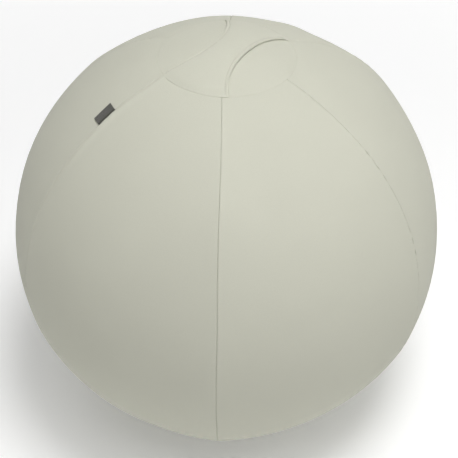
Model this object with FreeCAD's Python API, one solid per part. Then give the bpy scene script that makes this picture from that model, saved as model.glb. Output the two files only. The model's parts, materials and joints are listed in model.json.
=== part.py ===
import FreeCAD, Part
import math
import os
from FreeCAD import Placement, Rotation, Vector

# Sitting ball: a zipped cloth cover of six panels with a carry strap on its top cap, stretched over an
# inflated bladder that stands on a sand-filled pouch. Millimetres, +Z up, origin at the centre of the flat
# foot. The strap runs along Y, with its front end towards -Y. Polar angles are measured at the ball's centre
# from the top, and seams stand at azimuths counted from +X.

# Driving dimensions of the ball and its cover
BALL_RADIUS = 325.0
FOOT_RADIUS = 75.0
PANEL_COUNT = 6
CLOTH = 1.2
HEM_WIDTH = 10.0
CAP_RADIUS = 97.0
BASE_RADIUS = 97.0
BASE_CLOTH = 1.5
THREAD_RADIUS = 0.3

# Carry strap
STRAP_MID_WIDTH = 52.0
STRAP_END_WIDTH = 100.0
STRAP_THICKNESS = 2.5
STRAP_GAP = 6.5
GRIP_LENGTH = 90.0

# Zip: a coil chain on two tapes, in the seam between the rear and rear left panels
ZIP_SEAM = 2
ZIP_TOP_ANGLE = 70.0
ZIP_BOTTOM_ANGLE = 150.0
ZIP_SLOT_MARGIN = 1.6
ZIP_SLOT_END = 3.0
TAPE_WIDTH = 14.0
TAPE_THICKNESS = 0.6
COIL_WIDTH = 2.2
COIL_HEIGHT = 2.2
STOP_LENGTH = 4.0
STOP_RISE = 0.25

# Zip slider and its pull
SLIDER_LENGTH = 11.5
SLIDER_WALL = 0.6
SLIDER_FLARE = 0.6
SLIDER_PLATE = 1.2
SLIDER_CORNER = 1.0
SLIDER_WEB = 0.8
SLIDER_WEB_LENGTH = 3.2
SLIDER_FLANGE = 0.9
SLIDER_RUN_GAP = 0.2
BAIL_WALL = 1.5
BAIL_THICKNESS = 1.6
PULL_PIN_RADIUS = 0.8
PULL_EYE_WALL = 0.7
PULL_LENGTH = 30.0
PULL_WIDTH = 7.0
PULL_THICKNESS = 1.6
PULL_EYE_GAP = 0.8
PULL_HOLE_RADIUS = 1.5

# Label sewn into the front left seam
LABEL_SEAM = 4
LABEL_ANGLE = 34.2
LABEL_LENGTH = 30.0
LABEL_WIDTH = 18.0
LABEL_THICKNESS = 1.0
LABEL_ROOT = 1.0

# Bladder, valve and ballast
BLADDER_WALL = 1.0
VALVE_ANGLE = 86.0
VALVE_OFFSET = 45.0
VALVE_TUBE_RADIUS = 7.5
VALVE_BORE_RADIUS = 5.0
VALVE_TUBE_LENGTH = 17.0
VALVE_FLANGE_RADIUS = 15.0
VALVE_FLANGE = 1.4
PLUG_LIP = 1.0
PLUG_HEAD = 1.2
PLUG_SNAP = 0.6
PLUG_RIB_LENGTH = 3.0
POUCH_HEIGHT = 12.0
POUCH_SKIN = 0.7

# Clearances
SEAM_GAP = 0.3
LAY_GAP = 0.2
REST_GAP = 0.3
FIT_GAP = 0.15
FILL_GAP = 0.2

# Worked out from the above
X, Y, Z = Vector(1, 0, 0), Vector(0, 1, 0), Vector(0, 0, 1)
CENTRE = Z * math.sqrt(BALL_RADIUS**2 - FOOT_RADIUS**2)
SEAM_STEP = 360.0 / PANEL_COUNT
CAP_ANGLE = math.degrees(math.asin(CAP_RADIUS / BALL_RADIUS))
BASE_ANGLE = 180.0 - math.degrees(math.asin(BASE_RADIUS / BALL_RADIUS))
COVER_INSIDE = BALL_RADIUS - CLOTH
HEM_INSIDE = COVER_INSIDE - CLOTH
TAPE_OUTSIDE = COVER_INSIDE - LAY_GAP
TAPE_INSIDE = TAPE_OUTSIDE - TAPE_THICKNESS
COIL_INSIDE = TAPE_OUTSIDE + LAY_GAP
COIL_OUTSIDE = COIL_INSIDE + COIL_HEIGHT
CHAIN_SLIT = SLIDER_WEB / 2 + SLIDER_RUN_GAP * 2
CHAIN_HALF = CHAIN_SLIT + COIL_WIDTH
SLIDER_REAR = CHAIN_HALF + SLIDER_RUN_GAP + SLIDER_WALL
SLIDER_FRONT = SLIDER_REAR + SLIDER_FLARE
ZIP_SLOT_HALF = SLIDER_FRONT + ZIP_SLOT_MARGIN
SLIDER_BOTTOM = TAPE_INSIDE - SLIDER_RUN_GAP - SLIDER_PLATE
BLADDER_RADIUS = SLIDER_BOTTOM - REST_GAP
POUCH_BOTTOM = BASE_CLOTH + REST_GAP
POUCH_TOP = POUCH_BOTTOM + POUCH_HEIGHT


def degrees_along(length, radius=BALL_RADIUS):
    """The polar angle that an arc of this length spans."""
    return math.degrees(length / radius)


def direction(angle):
    """The outward direction at a polar angle, in the XZ plane."""
    return Vector(math.sin(math.radians(angle)), 0, math.cos(math.radians(angle)))


def line(start, end):
    return Part.LineSegment(start, end).toShape()


def arc(start, middle, end):
    return Part.Arc(start, middle, end).toShape()


def turned(edges, base, axis, angle):
    """The solid that a closed outline sweeps about an axis."""
    return Part.Face(Part.Wire(edges)).revolve(base, axis, angle)


def about_z(shape, azimuth):
    return shape.rotated(Vector(), Z, azimuth)


def centre_arc(radius, start, end):
    """An arc about the ball's centre in the XZ plane, between two polar angles."""
    places = [CENTRE + direction(a) * radius for a in (start, (start + end) / 2, end)]
    return arc(*places)


def zone(inside, outside, start, end, turn):
    """A spherical shell between two polar angles, turned from azimuth 0 through an angle."""
    edges = [
        centre_arc(outside, start, end),
        line(CENTRE + direction(end) * outside, CENTRE + direction(end) * inside),
        centre_arc(inside, end, start),
        line(CENTRE + direction(start) * inside, CENTRE + direction(start) * outside),
    ]
    return turned(edges, Vector(), Z, turn)


def band(inside, outside, near, far, start, end, seam):
    """A strip of spherical shell that runs along a seam, between two distances from the seam's plane and
    two polar angles."""
    out = direction(start)

    def at(radius, offset):
        return CENTRE + Y * offset + out * math.sqrt(radius**2 - offset**2)

    middle = (near + far) / 2
    edges = [
        arc(at(outside, near), at(outside, middle), at(outside, far)),
        line(at(outside, far), at(inside, far)),
        arc(at(inside, far), at(inside, middle), at(inside, near)),
        line(at(inside, near), at(outside, near)),
    ]
    return about_z(turned(edges, CENTRE, Y, end - start), seam * SEAM_STEP)


def ball_above(radius, bottom):
    """The part of a ball, about the ball's centre, that lies above a height."""
    rim_angle = math.degrees(math.acos((bottom - CENTRE.z) / radius))
    rim = CENTRE + direction(rim_angle) * radius
    top = CENTRE + Z * radius
    edges = [line(Z * bottom, rim), centre_arc(radius, rim_angle, 0.0), line(top, Z * bottom)]
    return turned(edges, Vector(), Z, 360)


def ball_between(radius, bottom, top):
    """The slice of a ball, about the ball's centre, between two heights."""
    return ball_above(radius, bottom).cut(ball_above(radius + CLOTH, top))


def seam_frame(angle, radius, seam):
    """The placement of a piece on a seam: its X points across the seam, its Y down it and its Z outwards."""
    upright = Rotation(-Y, direction(angle + 90), direction(angle), "ZXY")
    place = CENTRE + direction(angle) * radius
    return Placement(Vector(), Rotation(Z, seam * SEAM_STEP)) * Placement(place, upright)


def placed(shape, placement):
    moved = shape.copy()
    moved.Placement = placement
    return moved


def plate(outline, bottom, top, corner=0.0):
    """A flat plate of a polygon's outline, with its upright edges rounded."""
    points = [Vector(x, y, bottom) for x, y in outline]
    solid = Part.Face(Part.makePolygon(points + points[:1])).extrude(Z * (top - bottom))
    if corner == 0.0:
        return solid
    upright = [e for e in solid.Edges if abs(e.tangentAt(e.FirstParameter).z) > 0.99]
    return solid.makeFillet(corner, upright)


def block(width, length, bottom, top, x=0.0, y=0.0):
    return Part.makeBox(width, length, top - bottom, Vector(x - width / 2, y - length / 2, bottom))


# Cover panels
SLOT_TOP = ZIP_TOP_ANGLE - degrees_along(ZIP_SLOT_END)
SLOT_BOTTOM = ZIP_BOTTOM_ANGLE + degrees_along(ZIP_SLOT_END)


def hem_stretches(seam):
    """The polar angles between which a seam has its turned-in hem: all of it, or both sides of the zip."""
    first = CAP_ANGLE + degrees_along(HEM_WIDTH / 2)
    last = BASE_ANGLE - degrees_along(HEM_WIDTH / 2)
    if seam != ZIP_SEAM:
        return [(first, last)]
    return [(first, SLOT_TOP), (SLOT_BOTTOM, last)]


def zip_slot():
    """The space between the two panels beside the zip, wide enough for the slider to run in."""
    inside, outside = HEM_INSIDE - CLOTH, BALL_RADIUS + CLOTH
    return band(inside, outside, -ZIP_SLOT_HALF, ZIP_SLOT_HALF, SLOT_TOP, SLOT_BOTTOM, ZIP_SEAM)


def panel(first_seam):
    """One cover panel from its first seam to the next, with the hems turned in along both."""
    next_seam = (first_seam + 1) % PANEL_COUNT
    shell = about_z(zone(COVER_INSIDE, BALL_RADIUS, CAP_ANGLE, BASE_ANGLE, SEAM_STEP), first_seam * SEAM_STEP)
    hems = []
    for seam, near, far in ((first_seam, 0.0, HEM_WIDTH), (next_seam, -HEM_WIDTH, 0.0)):
        for start, end in hem_stretches(seam):
            hems.append(band(HEM_INSIDE, COVER_INSIDE, near, far, start, end, seam))
    shell = shell.fuse(hems).removeSplitter()
    if ZIP_SEAM in (first_seam, next_seam):
        shell = shell.cut(zip_slot())
    return shell


def top_cap():
    return zone(COVER_INSIDE, BALL_RADIUS, 0.0, CAP_ANGLE - degrees_along(SEAM_GAP), 360)


def base_cap():
    """The shallow dish under the ball, flat where the ball stands."""
    rim = BASE_ANGLE + degrees_along(SEAM_GAP)
    inner = BALL_RADIUS - BASE_CLOTH
    foot_angle = 180.0 - math.degrees(math.asin(FOOT_RADIUS / BALL_RADIUS))
    inner_angle = math.degrees(math.acos((BASE_CLOTH - CENTRE.z) / inner))
    inner_foot = CENTRE + direction(inner_angle) * inner
    edges = [
        centre_arc(BALL_RADIUS, rim, foot_angle),
        line(X * FOOT_RADIUS, Vector()),
        line(Vector(), Z * BASE_CLOTH),
        line(Z * BASE_CLOTH, inner_foot),
        centre_arc(inner, inner_angle, rim),
        line(CENTRE + direction(rim) * inner, CENTRE + direction(rim) * BALL_RADIUS),
    ]
    return turned(edges, Vector(), Z, 360)


# Sewing thread
def seam_threads():
    """One thread along each panel seam, under the hems it holds together."""
    radius = HEM_INSIDE - LAY_GAP - THREAD_RADIUS
    threads = []
    for seam in range(PANEL_COUNT):
        for start, end in hem_stretches(seam):
            ring = Part.makeCircle(THREAD_RADIUS, CENTRE + direction(start) * radius, direction(start + 90))
            thread = turned([ring], CENTRE, Y, end - start)
            threads.append(about_z(thread, seam * SEAM_STEP))
    return Part.makeCompound(threads)


def ring_thread(angle, cloth):
    """The thread round a cap's seam, just inside the cloth."""
    radius = BALL_RADIUS - cloth - LAY_GAP - THREAD_RADIUS
    ring = Part.makeCircle(THREAD_RADIUS, CENTRE + direction(angle) * radius, Y)
    return turned([ring], Vector(), Z, 360)


# Carry strap
def strap_outline():
    """The strap seen from above: ends that follow the cap's seam, and hollow sides."""
    reach = CAP_RADIUS - SEAM_GAP
    half = STRAP_END_WIDTH / 2
    corner = math.sqrt(reach**2 - half**2)
    waist = STRAP_MID_WIDTH / 2
    edges = [
        arc(Vector(half, -corner, 0), Vector(waist, 0, 0), Vector(half, corner, 0)),
        arc(Vector(half, corner, 0), Vector(0, reach, 0), Vector(-half, corner, 0)),
        arc(Vector(-half, corner, 0), Vector(-waist, 0, 0), Vector(-half, -corner, 0)),
        arc(Vector(-half, -corner, 0), Vector(0, -reach, 0), Vector(half, -corner, 0)),
    ]
    return Part.Face(Part.Wire(edges))


def strap():
    """The whole strap, arched from seam to seam and clear of the cap."""
    seam_height = CENTRE.z + BALL_RADIUS * math.cos(math.radians(CAP_ANGLE)) + REST_GAP
    rise = CENTRE.z + BALL_RADIUS + STRAP_GAP - seam_height
    bend = (CAP_RADIUS**2 + rise**2) / (2 * rise)
    middle = Z * (seam_height + rise - bend)
    arch = Part.makeSphere(bend + STRAP_THICKNESS, middle).cut(Part.makeSphere(bend, middle))
    outline = strap_outline()
    outline.translate(Z * seam_height)
    return arch.common(outline.extrude(Z * (rise + STRAP_THICKNESS * 2)))


def strap_length(start, end):
    """The stretch of the strap between two places along Y."""
    box = block(STRAP_END_WIDTH * 2, end - start, 0, BALL_RADIUS * 3, y=(start + end) / 2)
    return strap().common(box)


# Zip chain
def zip_strip(inside, outside, width, side, start, end):
    """A strip on one side of the zip's slit: side 1 is the rear left panel's, -1 the rear panel's."""
    near, far = sorted((CHAIN_SLIT * side, (CHAIN_SLIT + width) * side))
    return band(inside, outside, near, far, start, end, ZIP_SEAM)


def zip_tape(side):
    return zip_strip(TAPE_INSIDE, TAPE_OUTSIDE, TAPE_WIDTH, side, SLOT_TOP, SLOT_BOTTOM)


def zip_coil(side):
    stop = degrees_along(STOP_LENGTH + LAY_GAP)
    start, end = ZIP_TOP_ANGLE + stop, ZIP_BOTTOM_ANGLE - stop
    return zip_strip(COIL_INSIDE, COIL_OUTSIDE, COIL_WIDTH, side, start, end)


def zip_top_stops():
    """A small stop at the top of each coil."""
    end = ZIP_TOP_ANGLE + degrees_along(STOP_LENGTH)
    outside = COIL_OUTSIDE + STOP_RISE
    stops = [zip_strip(COIL_INSIDE, outside, COIL_WIDTH, side, ZIP_TOP_ANGLE, end) for side in (-1, 1)]
    return Part.makeCompound(stops)


def zip_bottom_stop():
    """One crimped stop across both coils."""
    start = ZIP_BOTTOM_ANGLE - degrees_along(STOP_LENGTH)
    outside = COIL_OUTSIDE + STOP_RISE
    return band(COIL_INSIDE, outside, -CHAIN_HALF, CHAIN_HALF, start, ZIP_BOTTOM_ANGLE, ZIP_SEAM)


# Zip slider, modelled at the ball's surface with X across the zip, Y down it and Z outwards
SLIDER_ANGLE = ZIP_TOP_ANGLE + degrees_along(STOP_LENGTH + LAY_GAP + REST_GAP + SLIDER_LENGTH / 2)
UPPER_PLATE = COIL_OUTSIDE + SLIDER_RUN_GAP - BALL_RADIUS
LOWER_PLATE = SLIDER_BOTTOM - BALL_RADIUS
PULL_EYE_RADIUS = PULL_PIN_RADIUS + PULL_EYE_WALL
BAIL_HOLE_RADIUS = PULL_PIN_RADIUS + REST_GAP
BAIL_RADIUS = BAIL_HOLE_RADIUS + BAIL_WALL
BAIL_AXIS = UPPER_PLATE + SLIDER_PLATE + PULL_EYE_RADIUS + REST_GAP
PULL_EYE_LENGTH = BAIL_RADIUS + PULL_EYE_GAP


def slider_plate(bottom):
    """One of the slider's two plates, wider at its upper end."""
    half = SLIDER_LENGTH / 2
    outline = [(-SLIDER_FRONT, -half), (SLIDER_FRONT, -half), (SLIDER_REAR, half), (-SLIDER_REAR, half)]
    return plate(outline, bottom, bottom + SLIDER_PLATE, SLIDER_CORNER)


def slider_flange(side):
    """The upper plate's edge, turned down beside the coils and clear of the tapes."""
    inner = CHAIN_HALF + SLIDER_RUN_GAP
    half = SLIDER_LENGTH / 2 - SLIDER_CORNER
    corners = [(inner, -half), (SLIDER_FRONT, -half), (SLIDER_REAR, half), (inner, half)]
    outline = [(x * side, y) for x, y in corners]
    return plate(outline, UPPER_PLATE - SLIDER_FLANGE, UPPER_PLATE)


def slider_bail():
    """The eye on the slider's back that carries the pull."""
    post = block(BAIL_THICKNESS, BAIL_RADIUS * 2, UPPER_PLATE, BAIL_AXIS)
    start = Vector(-BAIL_THICKNESS / 2, 0, BAIL_AXIS)
    eye = Part.makeCylinder(BAIL_RADIUS, BAIL_THICKNESS, start, X)
    hole = Part.makeCylinder(BAIL_HOLE_RADIUS, BAIL_THICKNESS, start, X)
    return post.fuse(eye).cut(hole)


def zip_slider():
    """Two plates joined by a web that runs in the chain's slit, with the bail on the back."""
    web_place = -SLIDER_LENGTH / 2 + SLIDER_CORNER + SLIDER_WEB_LENGTH / 2
    web = block(SLIDER_WEB, SLIDER_WEB_LENGTH, LOWER_PLATE, UPPER_PLATE + SLIDER_PLATE, y=web_place)
    others = [slider_plate(LOWER_PLATE), web, slider_flange(-1), slider_flange(1), slider_bail()]
    slider = slider_plate(UPPER_PLATE).fuse(others).removeSplitter()
    return placed(slider, seam_frame(SLIDER_ANGLE, BALL_RADIUS, ZIP_SEAM))


def pull_droop():
    """How far the pull leans in from the slider's back to lie on the chain."""
    drop = BALL_RADIUS - math.sqrt(BALL_RADIUS**2 - PULL_LENGTH**2)
    chain_top = COIL_OUTSIDE + STOP_RISE + REST_GAP - BALL_RADIUS
    clear = BAIL_AXIS - PULL_THICKNESS / 2 - chain_top
    return math.degrees(math.atan2(clear + drop, PULL_LENGTH))


def zip_pull():
    """The pull: a pin through the bail, two cheeks beside it and a tab with a round end and a hole."""
    half = PULL_THICKNESS / 2
    gap = BAIL_THICKNESS / 2 + SLIDER_RUN_GAP
    cheek = PULL_WIDTH / 2 - gap
    straight = PULL_LENGTH - PULL_WIDTH / 2
    tab = block(PULL_WIDTH, straight - PULL_EYE_LENGTH, -half, half, y=(straight + PULL_EYE_LENGTH) / 2)
    end = Part.makeCylinder(PULL_WIDTH / 2, PULL_THICKNESS, Vector(0, straight, -half))
    pin = Part.makeCylinder(PULL_PIN_RADIUS, PULL_WIDTH, Vector(-PULL_WIDTH / 2, 0, 0), X)
    others = [end, pin]
    for side in (-1, 1):
        middle = side * (gap + cheek / 2)
        others.append(block(cheek, PULL_EYE_LENGTH, -half, half, x=middle, y=PULL_EYE_LENGTH / 2))
        others.append(Part.makeCylinder(PULL_EYE_RADIUS, cheek, Vector(middle - cheek / 2, 0, 0), X))
    hole = Part.makeCylinder(PULL_HOLE_RADIUS, PULL_THICKNESS, Vector(0, straight, -half))
    pull = tab.fuse(others).removeSplitter().cut(hole)
    leaning = Placement(Vector(0, 0, BAIL_AXIS), Rotation(X, -pull_droop()))
    return placed(pull, seam_frame(SLIDER_ANGLE, BALL_RADIUS, ZIP_SEAM) * leaning)


def seam_label():
    """A folded woven label, sewn in along the seam and lying on the panel to its left."""
    half = degrees_along(LABEL_LENGTH / 2)
    inside = BALL_RADIUS + REST_GAP
    near, far = -LABEL_ROOT - LABEL_WIDTH, -LABEL_ROOT
    start, end = LABEL_ANGLE - half, LABEL_ANGLE + half
    return band(inside, inside + LABEL_THICKNESS, near, far, start, end, LABEL_SEAM)


# Bladder and valve
def valve_frame():
    """The placement of the valve: its Z points out of the bladder, beside the zip."""
    lean = math.degrees(math.asin(VALVE_OFFSET / BLADDER_RADIUS))
    return seam_frame(VALVE_ANGLE, 0.0, ZIP_SEAM) * Placement(Vector(), Rotation(Y, lean))


def bladder():
    bottom = POUCH_TOP + REST_GAP
    skin = ball_above(BLADDER_RADIUS, bottom)
    hollow = ball_above(BLADDER_RADIUS - BLADDER_WALL, bottom + BLADDER_WALL)
    hole = Part.makeCylinder(VALVE_TUBE_RADIUS + FIT_GAP, BALL_RADIUS)
    return skin.cut(hollow).cut(placed(hole, valve_frame()))


def valve_insert():
    """The moulded valve seat: a tube through the bladder's wall on a flange bonded inside it."""
    mouth = BLADDER_RADIUS
    sag = BLADDER_RADIUS - math.sqrt(BLADDER_RADIUS**2 - VALVE_FLANGE_RADIUS**2)
    flange_top = mouth - BLADDER_WALL - sag - FIT_GAP
    tube = Part.makeCylinder(VALVE_TUBE_RADIUS, VALVE_TUBE_LENGTH, Z * (mouth - VALVE_TUBE_LENGTH))
    flange = Part.makeCylinder(VALVE_FLANGE_RADIUS, VALVE_FLANGE, Z * (flange_top - VALVE_FLANGE))
    bore = Part.makeCylinder(VALVE_BORE_RADIUS, VALVE_TUBE_LENGTH, Z * (mouth - VALVE_TUBE_LENGTH))
    return placed(tube.fuse(flange).removeSplitter().cut(bore), valve_frame())


def valve_plug():
    """The plug: a head on the valve's mouth, a stem in its bore and a rib that snaps in below it."""
    mouth = BLADDER_RADIUS + FIT_GAP
    stem_length = VALVE_TUBE_LENGTH + REST_GAP
    stem_radius = VALVE_BORE_RADIUS - FIT_GAP
    tip = mouth - stem_length - PLUG_RIB_LENGTH
    stem = Part.makeCylinder(stem_radius, stem_length, Z * (mouth - stem_length))
    rib = Part.makeCone(stem_radius - PLUG_SNAP, stem_radius + PLUG_SNAP, PLUG_RIB_LENGTH, Z * tip)
    head = Part.makeCylinder(VALVE_TUBE_RADIUS + PLUG_LIP, PLUG_HEAD, Z * mouth)
    return placed(stem.fuse([rib, head]).removeSplitter(), valve_frame())


# Ballast
def ballast_bag(inset):
    """The bag's shape, drawn in on all sides."""
    return ball_between(BLADDER_RADIUS - inset, POUCH_BOTTOM + inset, POUCH_TOP - inset)


def ballast_pouch():
    """The closed bag under the bladder, shaped by the base it lies in."""
    return ballast_bag(0.0).cut(ballast_bag(POUCH_SKIN))


def ballast_fill():
    return ballast_bag(POUCH_SKIN + FILL_GAP)


# Each piece and the file that it goes to
PANEL_NAMES = ("rear_right", "rear", "rear_left", "front_left", "front", "front_right")
GRIP_END = GRIP_LENGTH / 2
STRAP_END = CAP_RADIUS * 2


def pieces():
    found = {}
    for seam, name in enumerate(PANEL_NAMES):
        found["panel_" + name] = panel(seam)
    found["top_cap"] = top_cap()
    found["base_cap"] = base_cap()
    found["panel_seam_threads"] = seam_threads()
    found["cap_seam_thread"] = ring_thread(CAP_ANGLE, CLOTH)
    found["base_seam_thread"] = ring_thread(BASE_ANGLE, BASE_CLOTH)
    found["handle_front_end"] = strap_length(-STRAP_END, -GRIP_END - SEAM_GAP)
    found["handle_grip"] = strap_length(-GRIP_END, GRIP_END)
    found["handle_rear_end"] = strap_length(GRIP_END + SEAM_GAP, STRAP_END)
    found["zip_tape_left"] = zip_tape(1)
    found["zip_tape_right"] = zip_tape(-1)
    found["zip_coil_left"] = zip_coil(1)
    found["zip_coil_right"] = zip_coil(-1)
    found["zip_top_stops"] = zip_top_stops()
    found["zip_bottom_stop"] = zip_bottom_stop()
    found["zip_slider"] = zip_slider()
    found["zip_pull"] = zip_pull()
    found["seam_label"] = seam_label()
    found["bladder"] = bladder()
    found["valve_insert"] = valve_insert()
    found["valve_plug"] = valve_plug()
    found["ballast_pouch"] = ballast_pouch()
    found["ballast_fill"] = ballast_fill()
    return found


os.makedirs("parts", exist_ok=True)
for node, shape in pieces().items():
    shape.exportStep("parts/" + node + ".step")
    print(node, len(shape.Solids), shape.isValid(), round(shape.Volume, 1))
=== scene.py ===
import json
from math import acos, asin, atan2, cos, floor, pi, radians, sin, sqrt, tau

import bmesh
import bpy
import numpy as np
from mathutils import Matrix, Quaternion, Vector


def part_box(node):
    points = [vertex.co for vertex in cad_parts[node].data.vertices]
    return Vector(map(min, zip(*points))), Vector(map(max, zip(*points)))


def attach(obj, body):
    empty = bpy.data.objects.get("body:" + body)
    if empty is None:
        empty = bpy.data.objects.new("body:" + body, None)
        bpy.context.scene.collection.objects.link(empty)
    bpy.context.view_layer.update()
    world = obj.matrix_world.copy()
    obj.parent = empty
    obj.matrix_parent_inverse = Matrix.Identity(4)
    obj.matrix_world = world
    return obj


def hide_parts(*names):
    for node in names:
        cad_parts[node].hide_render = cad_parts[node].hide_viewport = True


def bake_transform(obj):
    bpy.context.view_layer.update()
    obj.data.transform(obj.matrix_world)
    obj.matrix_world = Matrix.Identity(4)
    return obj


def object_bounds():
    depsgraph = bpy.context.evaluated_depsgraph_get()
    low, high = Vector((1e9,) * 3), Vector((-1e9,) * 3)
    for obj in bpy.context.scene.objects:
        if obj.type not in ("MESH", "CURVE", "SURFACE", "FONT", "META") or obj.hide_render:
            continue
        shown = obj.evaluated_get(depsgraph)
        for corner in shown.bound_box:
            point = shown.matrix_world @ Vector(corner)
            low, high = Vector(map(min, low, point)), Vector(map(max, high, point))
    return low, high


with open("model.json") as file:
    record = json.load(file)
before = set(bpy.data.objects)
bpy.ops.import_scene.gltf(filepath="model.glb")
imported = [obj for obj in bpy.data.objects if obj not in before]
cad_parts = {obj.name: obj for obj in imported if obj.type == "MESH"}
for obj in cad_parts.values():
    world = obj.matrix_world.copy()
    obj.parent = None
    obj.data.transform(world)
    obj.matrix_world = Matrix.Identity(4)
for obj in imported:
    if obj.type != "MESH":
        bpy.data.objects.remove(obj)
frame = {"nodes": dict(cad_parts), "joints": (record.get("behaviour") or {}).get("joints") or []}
cad_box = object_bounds()

# Looks of the sitting ball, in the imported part's frame: metres, +Z up, the strap along Y with its front end
# towards -Y. Polar angles are measured at the ball's centre from the top, azimuths from +X, all in radians.
MM = 0.001
JOINTS = {joint["name"]: joint for joint in frame["joints"]}
NODES = frame["nodes"]
rng = np.random.default_rng(seed=5)

# The ball, from the frame. Each seam has the number of the panel that follows it, counted from +X.
CENTRE = np.array(JOINTS["zip_travel"]["pos_m"])
BALL_RADIUS = (cad_box[1].x - cad_box[0].x) / 2
RING_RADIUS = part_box("top_cap")[1].x
CAP_ANGLE = asin(RING_RADIUS / BALL_RADIUS)
BASE_ANGLE = pi - asin(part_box("base_cap")[1].x / BALL_RADIUS)
PANEL_NAMES = ("rear_right", "rear", "rear_left", "front_left", "front", "front_right")
PANELS = len(PANEL_NAMES)
SEAM_STEP = tau / PANELS
ZIP_SEAM = 2
LABEL_SEAM = 4
FRONT_RIGHT_SEAM = 5

# The cover's shape: panels that are drawn flat between seams that stand out, most near the top. Here and
# below, a ridge or a channel is given by its height, its place and its width.
MEAN_RADIUS = BALL_RADIUS - 2.0 * MM
PANEL_SAG = 2.6 * MM
PANEL_HOLLOWS = np.array([0.0, 1.6, 2.6, 0.0, 0.0, 0.0]) * MM
SEAM_RISE_TOP = 7.4 * MM
SEAM_RISE_BASE = 2.2 * MM
SEAM_SHARES = (1.0, 1.1, 1.0, 0.42, 0.75, 1.4)
TOP_RAMP = 0.2
BASE_RAMP = 0.07
# Where each seam strays sideways: the polar angle and width of each sway in degrees, and its reach in mm
SEAM_SWAYS = {
    0: ((36.0, 22.0, -4.8), (80.0, 16.0, -1.4)),
    1: ((50.0, 20.0, -6.0),),
    3: ((43.0, 20.0, 7.0),),
    4: ((17.4, 4.0, -3.6), (20.0, 9.0, 2.6), (38.0, 10.0, 2.6), (55.0, 7.0, 1.5)),
    5: ((15.0, 12.0, -3.0), (74.0, 14.0, 1.0)),
}
CAP_CROWN = 2.0 * MM
RING_DIP = 0.5 * MM
RING_DIP_WIDTH = 6.0 * MM
RING_DIP_AZIMUTH = radians(25.0)
RING_DIP_REACH = radians(35.0)
RING_DIP_GAIN = 1.2
PRESS_DEPTH = 0.4 * MM
PRESS_WIDTH = 4.5 * MM
PRESS_SPAN = (radians(250.0), radians(304.0))
PRESS_EASE = radians(11.0)
VALVE_SWELL = 1.3 * MM
VALVE_SWELL_WIDTH = 26.0 * MM
CREASE_PANEL = PANEL_NAMES.index("rear")
CREASE_DEPTH = 0.9 * MM
CREASE_WIDTH = 2.4 * MM
CREASE_END = radians(48.0)
CREASE_RIDGE = (2.3 * MM, radians(34.0), radians(11.0))
CREASE_RIDGE_WIDTH = 20.0 * MM
UNEVEN = 0.13 * MM
UNEVEN_TURNS = 8.0
UNEVEN_COUNT = 8
UNEVEN_WAVES = rng.normal(size=(UNEVEN_COUNT, 3)) * UNEVEN_TURNS
UNEVEN_STARTS = rng.uniform(0, tau, UNEVEN_COUNT)

# Cloth, seams and sewing
CLOTH = 1.2 * MM
BASE_CLOTH = 1.5 * MM
SEAM_GAP = 0.04 * MM
HEM_ROLL = CLOTH + 0.05 * MM
HEM_WIDTH = 10.0 * MM
RING_SLACK = 0.02 * MM
RING_SQUEEZE = 0.3
RING_GROOVE = 0.28 * MM
RING_GAP = 0.01 * MM
PUCKER_DEPTH = 0.32 * MM
PUCKER_LENGTH = 17.0 * MM
PUCKER_DRIFT = 1.7
PUCKER_DRIFT_LENGTH = 6 * PUCKER_LENGTH
PUCKER_PATCH_LENGTH = 9 * PUCKER_LENGTH
PUCKER_REACH = 9.0 * MM
PUCKER_FADE = 45.0 * MM
PUCKER_SHARES = (1.7, 1.2, 1.0, 1.0, 0.8, 0.6)
PUCKER_STARTS = rng.uniform(0, tau, (PANELS, 2, 3))
FLAT_SHARE = 0.5
FLAT_END = radians(43.0)
FLAT_FADE = radians(14.0)
WELT_SIDE = (LABEL_SEAM, 0)
WELT = (1.1 * MM, 5.0 * MM, 4.4 * MM)
WELT_END = radians(56.0)
WELT_FADE = radians(14.0)
THREAD_RADIUS = 0.3 * MM
THREAD_DEPTH = 2.9 * MM
THREAD_STEP = 3.0 * MM
THREAD_SIDES = 6
STITCH_LENGTH = 3.0 * MM
STITCH_GAP = 0.7 * MM
STITCH_RADIUS = 0.3 * MM
CHANNEL_DEPTH = 0.45 * MM
CHANNEL_WIDTH = 1.1 * MM
# A stitch from the side: shares of its length, and heights in thread radii
STITCH_SHAPE = np.array([(0.0, -0.9), (0.12, 0.1), (0.5, 0.55), (0.88, 0.1), (1.0, -0.9)])

# Mesh steps of the cover
ROW_STEP = 3.6 * MM
NEAR_COLUMNS = np.array([0.9, 2.0, 3.0, 3.9, 4.8, 6.2, 9.0, 13.5, 20.0]) * MM
MIDDLE_COLUMNS = 15
MIDDLE_CROWDS = (1.0, 2.0, 1.0, 1.0, 1.0, 1.0)
ROLL_STEPS = 7
RING_COLUMNS = 181
CAP_ROWS = 34
FOOT_EASE = 1.5 * MM
WELD = 1e-6
SHARP_ANGLE = radians(50)
ALL_RIMS = ("left", "right", "first", "last")

# Carry strap
STRAP_WAIST_HALF = 25.4 * MM
STRAP_END_HALF = 52.5 * MM
STRAP_END_Y = sqrt(RING_RADIUS**2 - STRAP_END_HALF**2)
STRAP_END_ANGLE = asin(STRAP_END_HALF / RING_RADIUS)
STRAP_END_EASE = radians(3.0)
STRAP_IN = STRAP_END_HALF - STRAP_WAIST_HALF
STRAP_ARC = (STRAP_END_Y**2 + STRAP_IN**2) / (2 * STRAP_IN)
STRAP_THICKNESS = 2.4 * MM
STRAP_END_THICKNESS = 0.8 * MM
STRAP_THINNING = 12.0 * MM
STRAP_ROLL = STRAP_END_THICKNESS + 0.05 * MM
STRAP_ARCH = 2.8 * MM
STRAP_ARCH_POWER = 1.3
STRAP_LIFT = 0.15 * MM
STRAP_DROOP = 0.88
STRAP_END_SHIFTS = {-1: 1.3 * MM, 1: -2.5 * MM}
STRAP_WAIST_SHIFT = 5.2 * MM
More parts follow.
